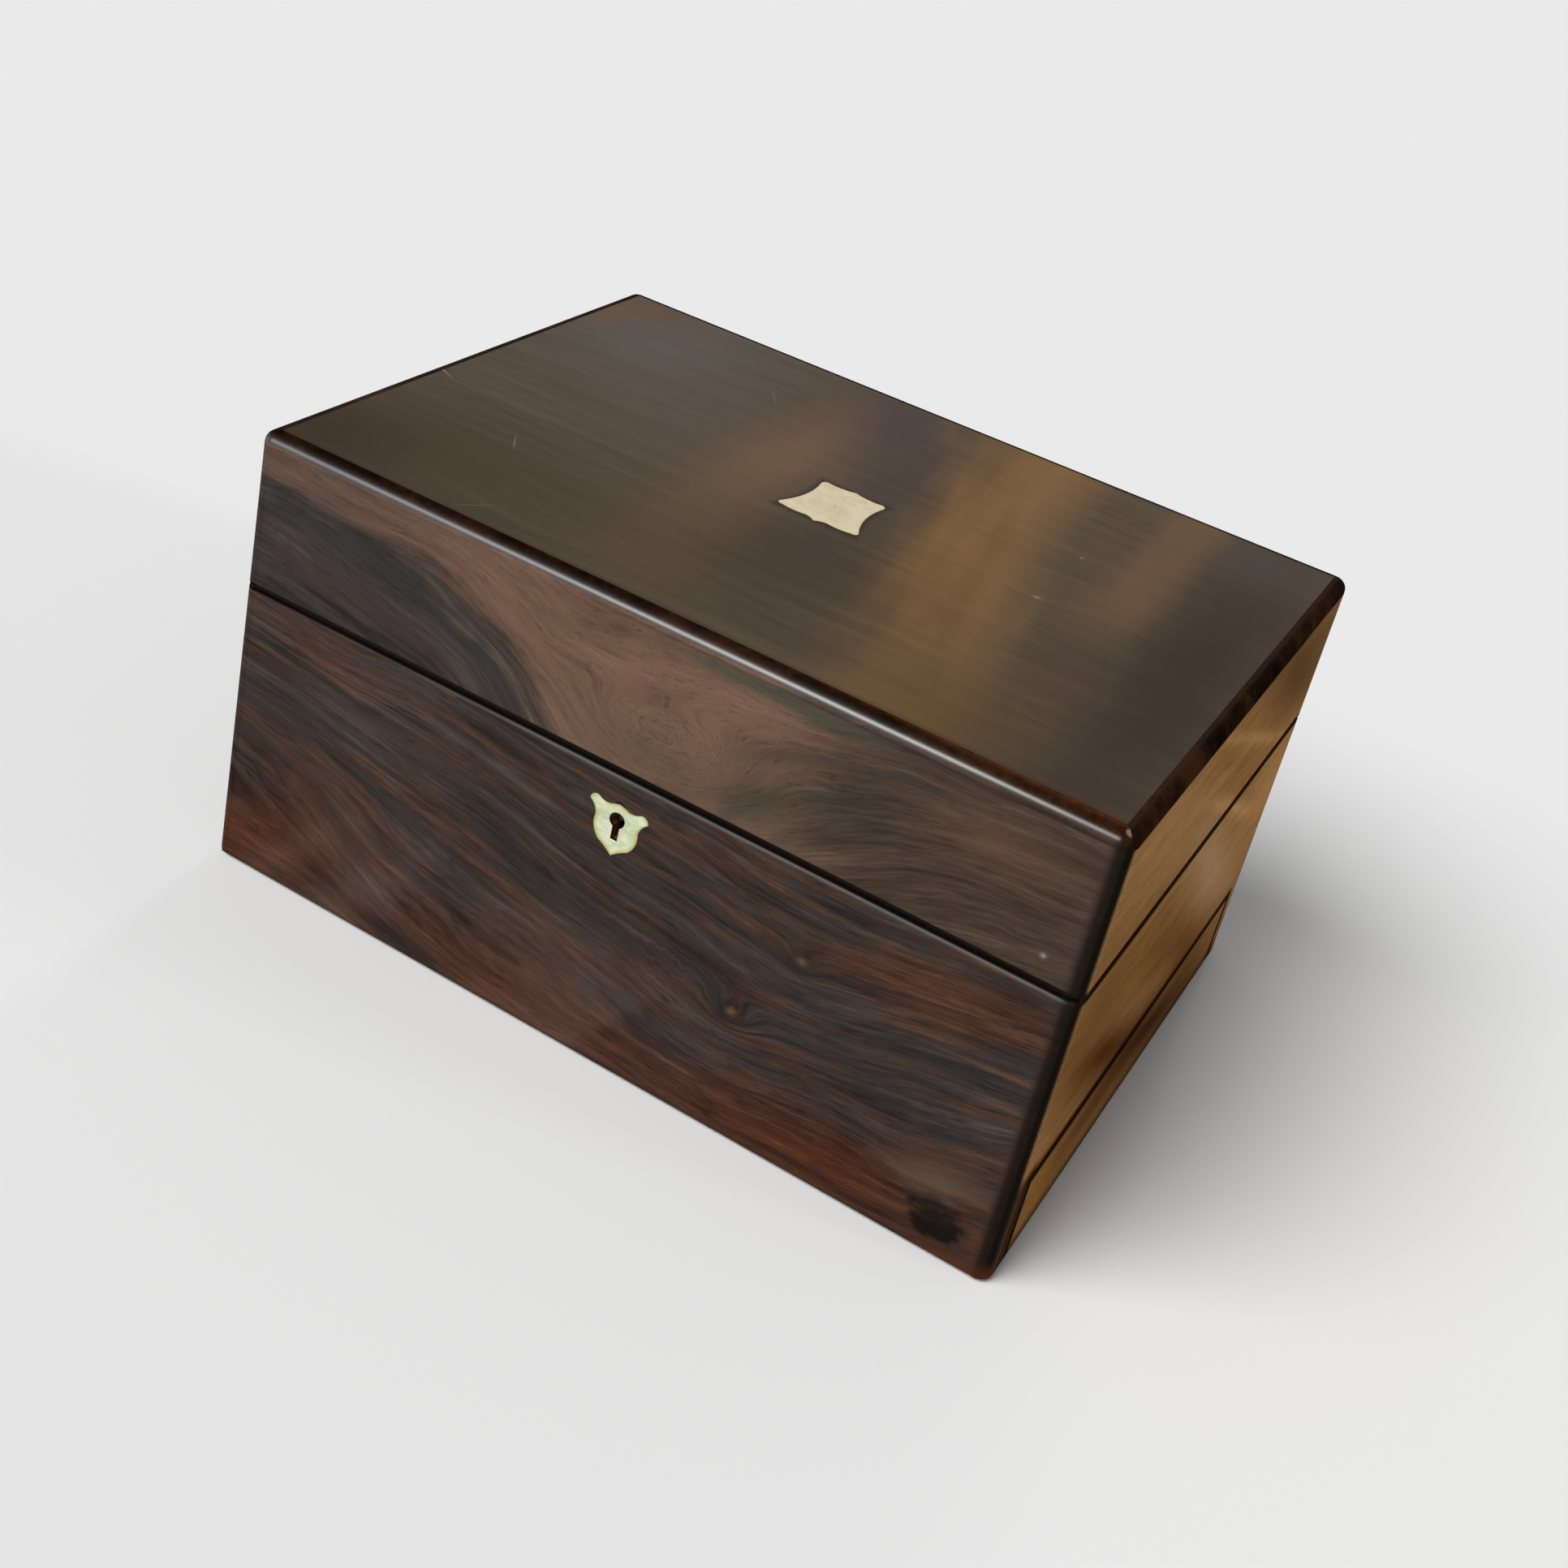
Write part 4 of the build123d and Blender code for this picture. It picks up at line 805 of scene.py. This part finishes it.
# The drill pin that the hollow key turns on: a steel rod riveted into the back of the lock's case,
# gone brown and dull in there.
material, start = new_material("dull_steel")
cloud = noise(scaled_place(start, 700.0), 3.0, 0.6)
surface(material, {
    "Base Color": blend(fade(cloud, 0.40, 0.62), srgb(44, 38, 34), srgb(72, 64, 58)),
    "Metallic": 0.7,
    "Roughness": cloud * 0.3 + 0.35,
})
dress(material, "lock_pin")

# The linings: silk velvet glued to the floor of the compartment, the tray and the drawer, and
# pulled over wadding in the lid. The pile leans here and there, so it shows lighter and darker.
def cloth(name, deep, bright, pile, sheen):
    """A piled cloth: colour by the lie of the pile, with a fine relief and a sheen."""
    material, start = new_material(name)
    lie = noise(scaled_place(start, 26.0, 60.0, 60.0), 3.0, 0.6)
    tuft = noise(scaled_place(start, pile), 2.0)
    return surface(material, {
        "Base Color": blend(fade(lie * 0.55 + tuft * 0.45, 0.34, 0.66), deep, bright),
        "Roughness": 0.9,
        "Specular IOR Level": 0.2,
        "Sheen Weight": sheen,
        "Sheen Roughness": 0.35,
        "Sheen Tint": bright,
        "Normal": relief(tuft, 0.35, 0.0003),
    })


def grid_faces(rows, columns, skip=None):
    """The four-sided faces of a grid of points, row by row, without the cells marked in skip."""
    first = np.arange(rows - 1)[:, None] * columns + np.arange(columns - 1)[None, :]
    cells = np.stack([first, first + 1, first + columns + 1, first + columns], -1)
    return (cells if skip is None else cells[~skip]).reshape(-1, 4)


def piece(name, points, faces, material, body, node):
    """A mesh of the box from its points and faces, on its body, in place of its CAD node."""
    mesh = bpy.data.meshes.new(name)
    mesh.from_pydata(points.reshape(-1, 3).tolist(), [], [list(map(int, f)) for f in faces])
    mesh.polygons.foreach_set("use_smooth", np.ones(len(mesh.polygons), bool))
    mesh.materials.append(material)
    made = stand(name, mesh)
    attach(made, body)
    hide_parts(node)
    return made


def grid_over(low, high, columns, rows):
    """A grid over a flat box: its x, its y and how far each point lies inside the edges."""
    x, y = np.meshgrid(np.linspace(low.x, high.x, columns), np.linspace(low.y, high.y, rows))
    return x, y, np.minimum.reduce([x - low.x, high.x - x, y - low.y, high.y - y])


def laid(name, face, material, body, node, thickness=0.0010, skip=None):
    """A cloth on a board: a drawn upper face with its thickness below it, cut to its CAD sheet."""
    points = np.stack(face, -1)
    faces = grid_faces(*points.shape[:2], skip)
    lining = piece(name, points, faces, material, body, node)
    solid = lining.modifiers.new("thickness", "SOLIDIFY")
    solid.thickness = thickness
    solid.offset = -1.0


velvet = cloth("silk_velvet", srgb(74, 12, 28), srgb(108, 22, 42), 2600.0, 0.5)
felt = cloth("wool_baize", srgb(22, 52, 34), srgb(42, 82, 54), 1800.0, 0.2)

low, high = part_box("compartment_lining")
x, y, inset = grid_over(low, high, 187, 132)
rng = np.random.default_rng(4)
ripple = sum(np.sin(x * a + y * b + c) for a, b, c in rng.uniform(-70, 70, (6, 3))) / 6
z = high.z - 0.00015 + 0.00012 * ripple - 0.0004 * np.exp(-inset / 0.0012)
# The drawer's pin goes through a hole in this velvet, which is drawn in towards it all round.
pin_x, pin_y, pin_hole, drawn_in = 0.128, -0.0946, 0.00185, 0.006
to_x, to_y = x - pin_x, y - pin_y
off = np.hypot(to_x, to_y)
pushed = np.where(off < drawn_in, pin_hole + (off / drawn_in) * (drawn_in - pin_hole), off)
x = pin_x + to_x / np.maximum(off, 1e-9) * pushed
y = pin_y + to_y / np.maximum(off, 1e-9) * pushed
cell_x, cell_y = to_x[:-1, :-1] + to_x[1:, 1:], to_y[:-1, :-1] + to_y[1:, 1:]
laid(
    "velvet_compartment",
    (x, y, z),
    velvet,
    "base",
    "compartment_lining",
    thickness=0.0007,
    skip=np.hypot(cell_x / 2, cell_y / 2) < 0.0011,
)

low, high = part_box("tray_lining")
x, y, inset = grid_over(low, high, 241, 167)
divider = 0.0638
to_wall = np.minimum.reduce([inset, np.abs(x + divider), np.abs(x - divider)])
z = high.z - 0.0003 + 0.0004 * (1 - np.exp(-to_wall / 0.006))
laid("velvet_tray", (x, y, z), velvet, "tray", "tray_lining")

low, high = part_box("drawer_lining")
x, y, inset = grid_over(low, high, 177, 123)
z = high.z - 0.0002 - 0.0008 * np.exp(-inset / 0.0035)
laid("velvet_drawer", (x, y, z), velvet, "drawer", "drawer_lining")

low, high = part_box("baize_pad")
x, y, inset = grid_over(low, high, 147, 111)
face = (x, y, np.full_like(x, high.z))
laid("baize", face, felt, "base", "baize_pad", high.z - low.z)

# The lid's lining: velvet over wadding on the ceiling of the lid, full between the mirror's frame
# and the walls and drawn flat under the frame, which is fixed through it.
low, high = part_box("lid_lining")
frame_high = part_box("mirror_frame")[1]
u, v = np.meshgrid(np.linspace(-1, 1, 221), np.linspace(-1, 1, 161))
x, y = u * high.x, v * high.y
from_wall = np.minimum(high.x - np.abs(x), high.y - np.abs(y))
from_frame = np.maximum(np.abs(x) - frame_high.x, np.abs(y) - frame_high.y)
rise = 1 - np.exp(-np.clip(from_frame, 0, None) / 0.0055)
roll = np.sqrt(np.clip(1 - np.clip(1 - from_wall / 0.006, 0, 1) ** 2, 0, 1))
pull = 0.00035 * np.sin(np.arctan2(y, x) * 46) * np.exp(-np.clip(from_frame, 0, None) / 0.006)
z = low.z - (0.0024 * rise + pull) * (from_frame > 0) + (high.z - low.z) * (1 - roll)
face_down = np.stack([x, y, z], -1)[:, ::-1]
faces = grid_faces(*face_down.shape[:2])
lining = piece("velvet_lid", face_down, faces, velvet, "lid", "lid_lining")

# The mirror: silvered glass, foxed a little near its edges, in a frame of dark rosewood. The frame
# is one moulding, mitred at the corners and held to the lid through the lining by four studs.
material, start = new_material("silvered_glass")
cloud = noise(scaled_place(start, 260.0), 4.0, 0.65)
x, y, z = box_place(start)
to_edge = larger(abs(x) - 94.0, abs(y) - 62.0)
foxed = fade(cloud + fade(to_edge, -22.0, 2.0) * 0.22, 0.70, 0.80)
surface(material, {
    "Base Color": blend(foxed * 0.6, srgb(232, 236, 236), srgb(120, 110, 96)),
    "Metallic": 1.0,
    "Roughness": foxed * 0.3 + 0.02,
})
dress(material, "mirror_glass")

quarter = np.linspace(0, np.pi / 2, 9)
outer_round = np.stack([1.6 - 1.6 * np.cos(quarter), 1.6 - 1.6 * np.sin(quarter)], 1)
inner_round = np.stack([10.5 + 2.5 * np.sin(quarter), 2.5 - 1.9 * np.cos(quarter)], 1)
rebate = [(10.0, 2.5), (10.0, 5.0), (0.0, 5.0)]
moulding = np.concatenate([outer_round, [(10.1, 0.0), (10.1, 0.6)], inner_round, rebate])
corner = np.array([(1, -1), (1, 1), (-1, 1), (-1, -1)])
frame_low, frame_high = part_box("mirror_frame")
half = np.array((frame_high.x, frame_high.y)) * 1000


def mitred(corner, half, inwards, height, face):
    """A moulding round a rectangle: corner * (half size - distance inwards), at its own height."""
    flat = corner[:, None, :] * (half - inwards[:, None])
    upright = np.broadcast_to(face + height[:, None], flat.shape[:2] + (1,))
    return np.concatenate([flat, upright], -1)


points = mitred(corner, half, *moulding.T, frame_low.z * 1000) / 1000
here = np.arange(len(corner) * len(moulding)).reshape(len(corner), -1)
onward = np.roll(here, -1, axis=0)
faces = np.stack([here, onward, np.roll(onward, -1, axis=1), np.roll(here, -1, axis=1)], -1)
faces = faces.reshape(-1, 4)
made = piece("mirror_moulding", points, faces, edging, "lid", "mirror_frame")
shell = bmesh.new()
shell.from_mesh(made.data)
bmesh.ops.recalc_face_normals(shell, faces=shell.faces)
shell.to_mesh(made.data)
shell.free()
made.data.set_sharp_from_angle(angle=np.radians(28))


# The inlays: a shield round the keyhole and a tablet in the lid, cut from shell, glued in flush
# and scraped level. Each has a yellowed rim and a thin dark line of glue round it.
def outline(steps, start_height, width, count):
    """Points evenly along the right side from the top, mirrored for the left.

    A step is a line, or an arc on the circle through three points. Its middle is the sum of each
    point's squared length times the opposite side turned by a quarter, over twice the triangle.
    """
    runs, here = [], np.array((0.0, start_height))
    for through, end in steps:
        end = np.array(end)
        t = np.linspace(0, 1, 40)[:, None]
        if through is None:
            runs.append(here + (end - here) * t)
        else:
            arc = np.array((here, through, end))
            opposite = np.roll(arc, -1, axis=0) - np.roll(arc, -2, axis=0)
            square = (arc**2).sum(1)
            middle = np.array((square @ opposite[:, 1], -(square @ opposite[:, 0])))
            middle = middle / (2 * (arc[:, 0] @ opposite[:, 1]))
            radius = np.linalg.norm(here - middle)
            angle = np.unwrap([np.arctan2(*(point - middle)[::-1]) for point in arc])
            turn = np.interp(t, (0, 0.5, 1), angle)
            runs.append(middle + radius * np.concatenate([np.cos(turn), np.sin(turn)], 1))
        here = end
    right = np.concatenate([r[:-1] for r in runs] + [here[None]])
    loop = np.concatenate([right, (right * (-1, 1))[::-1][1:-1]]) * width / 2
    loop = np.concatenate([loop, loop[:1]])
    run = np.concatenate([[0], np.cumsum(np.linalg.norm(np.diff(loop, axis=0), axis=1))])
    at = np.linspace(0, run[-1], count + 1)[:-1]
    return np.stack([np.interp(at, run, loop[:, i]) for i in (0, 1)], 1)


def shell_material(name, middle, pale_part, rim, cloudy):
    """Polished shell: soft clouds of two tones, with a yellow rim and a dark line at the edge."""
    material, start = new_material(name)
    cloud = noise(scaled_place(start, cloudy), 3.0, 0.55, 0.8)
    layer = noise(scaled_place(start, 160.0, 160.0, 900.0), 2.0)
    tone = fade(cloud * 0.7 + layer * 0.3, 0.38, 0.62)
    colour = blend(tone, srgb(*middle), srgb(*pale_part))
    inside = start.make("Attribute", {"attribute_name": "inside"}, output="Fac")
    colour = blend(fade(inside, 1.9, 0.6) * 0.80, colour, srgb(*rim))
    colour = blend(fade(inside, 0.55, 0.25), colour, srgb(28, 22, 14))
    return surface(material, {
        "Base Color": colour,
        "Roughness": tone * 0.12 + 0.28,
        "Specular IOR Level": 0.35,
        "Coat Weight": 0.15,
        "Coat Roughness": 0.12,
        "Normal": relief(cloud, 0.05, 0.0002),
    })


def inlay(name, loop, hole, place, material, body, node):
    """A flat inlay as rings between its outline and a hole or a middle point, with its sides.

    Ring k lies at outline + (hole - outline) * share, and the first and last rings drop behind
    the face. The attribute inside holds the distance from the outline in millimetres, and 0 on
    the rim of a hole, which is as dark as the outline.
    """
    back, inner_rings = 1.15, 22
    shares = np.concatenate([[0, 0], np.linspace(0, 1, inner_rings) ** 1.5, [1, 1]])
    flat = np.zeros(inner_rings - 2)
    depths = np.concatenate([[back, 0.04, 0.04], flat, [0.05, 0.07, back]])
    rings = loop[None] + (hole - loop)[None] * shares[:, None, None]
    span = np.linalg.norm(hole - loop, axis=1)[None] * shares[:, None]
    to_middle = np.abs(hole[:, 0]).max() < 1e-6
    span[-2:] *= to_middle
    points = place(rings[..., 0], rings[..., 1], np.broadcast_to(depths[:, None], span.shape))
    points = np.concatenate([points, points[:, :1]], 1)
    span = np.concatenate([span, span[:, :1]], 1)
    made = piece(name, points / 1000, grid_faces(*span.shape), material, body, node)
    attribute = made.data.attributes.new("inside", "FLOAT", "POINT")
    attribute.data.foreach_set("value", span.ravel().astype(np.float32))


shield_steps = [
    (None, (0.218, 0.518)),
    ((0.473, 0.455), (0.745, 0.555)),
    ((0.936, 0.491), (1.000, 0.327)),
    ((0.809, 0.109), (0.745, -0.127)),
    ((0.718, -0.545), (0.509, -0.873)),
    ((0.218, -1.045), (0.000, -1.218)),
]
keyhole_height = 92.0
key_radius, slot_half, slot_drop = 2.75, 1.25, 7.2
shield_width, tablet_width = 22.0, 31.0
loop = outline(shield_steps, 0.575, shield_width, 240)
angle = np.arctan2(loop[:, 0], loop[:, 1])
round_part = np.stack([np.sin(angle), np.cos(angle)], 1) * key_radius
from_below = np.tan(np.pi - np.abs(angle))
slot_x = np.clip(from_below * slot_drop, 0, slot_half) * np.sign(angle)
slot_z = -np.minimum(slot_drop, slot_half / np.maximum(from_below, 1e-6))
in_slot = (np.abs(round_part[:, 0]) < slot_half) & (round_part[:, 1] < 0)
hole = np.where(in_slot[:, None], np.stack([slot_x, slot_z], 1), round_part)
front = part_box("escutcheon")[0].y * 1000
shell = shell_material("shell_escutcheon", (190, 200, 156), (216, 224, 194), (184, 172, 84), 170.0)


def on_front(across, up, depth):
    """Points of the shield, set upright in the front round the keyhole."""
    return np.stack([across, front + depth, keyhole_height + up], -1)


inlay("shell_shield", loop, hole, on_front, shell, "base", "escutcheon")

tablet_steps = [
    ((0.142, 1.039), (0.271, 1.019)),
    ((0.484, 1.000), (0.697, 1.026)),
    ((0.781, 0.974), (0.806, 0.877)),
    ((0.755, 0.168), (1.000, -0.748)),
    ((0.968, -0.832), (0.877, -0.852)),
    ((0.568, -0.903), (0.271, -0.877)),
    ((0.129, -0.916), (0.000, -1.006)),
]
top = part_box("cartouche")[1].z * 1000
loop = outline(tablet_steps, 1.090, tablet_width, 260)
middle = np.zeros_like(loop) + (0.0, 0.6)
shell = shell_material("shell_tablet", (192, 176, 142), (208, 194, 162), (206, 190, 150), 130.0)


def on_top(across, back, depth):
    """Points of the tablet, laid flat in the middle of the lid."""
    return np.stack([across, back, top - depth], -1)


inlay("shell_tablet", loop, middle, on_top, shell, "lid", "cartouche")
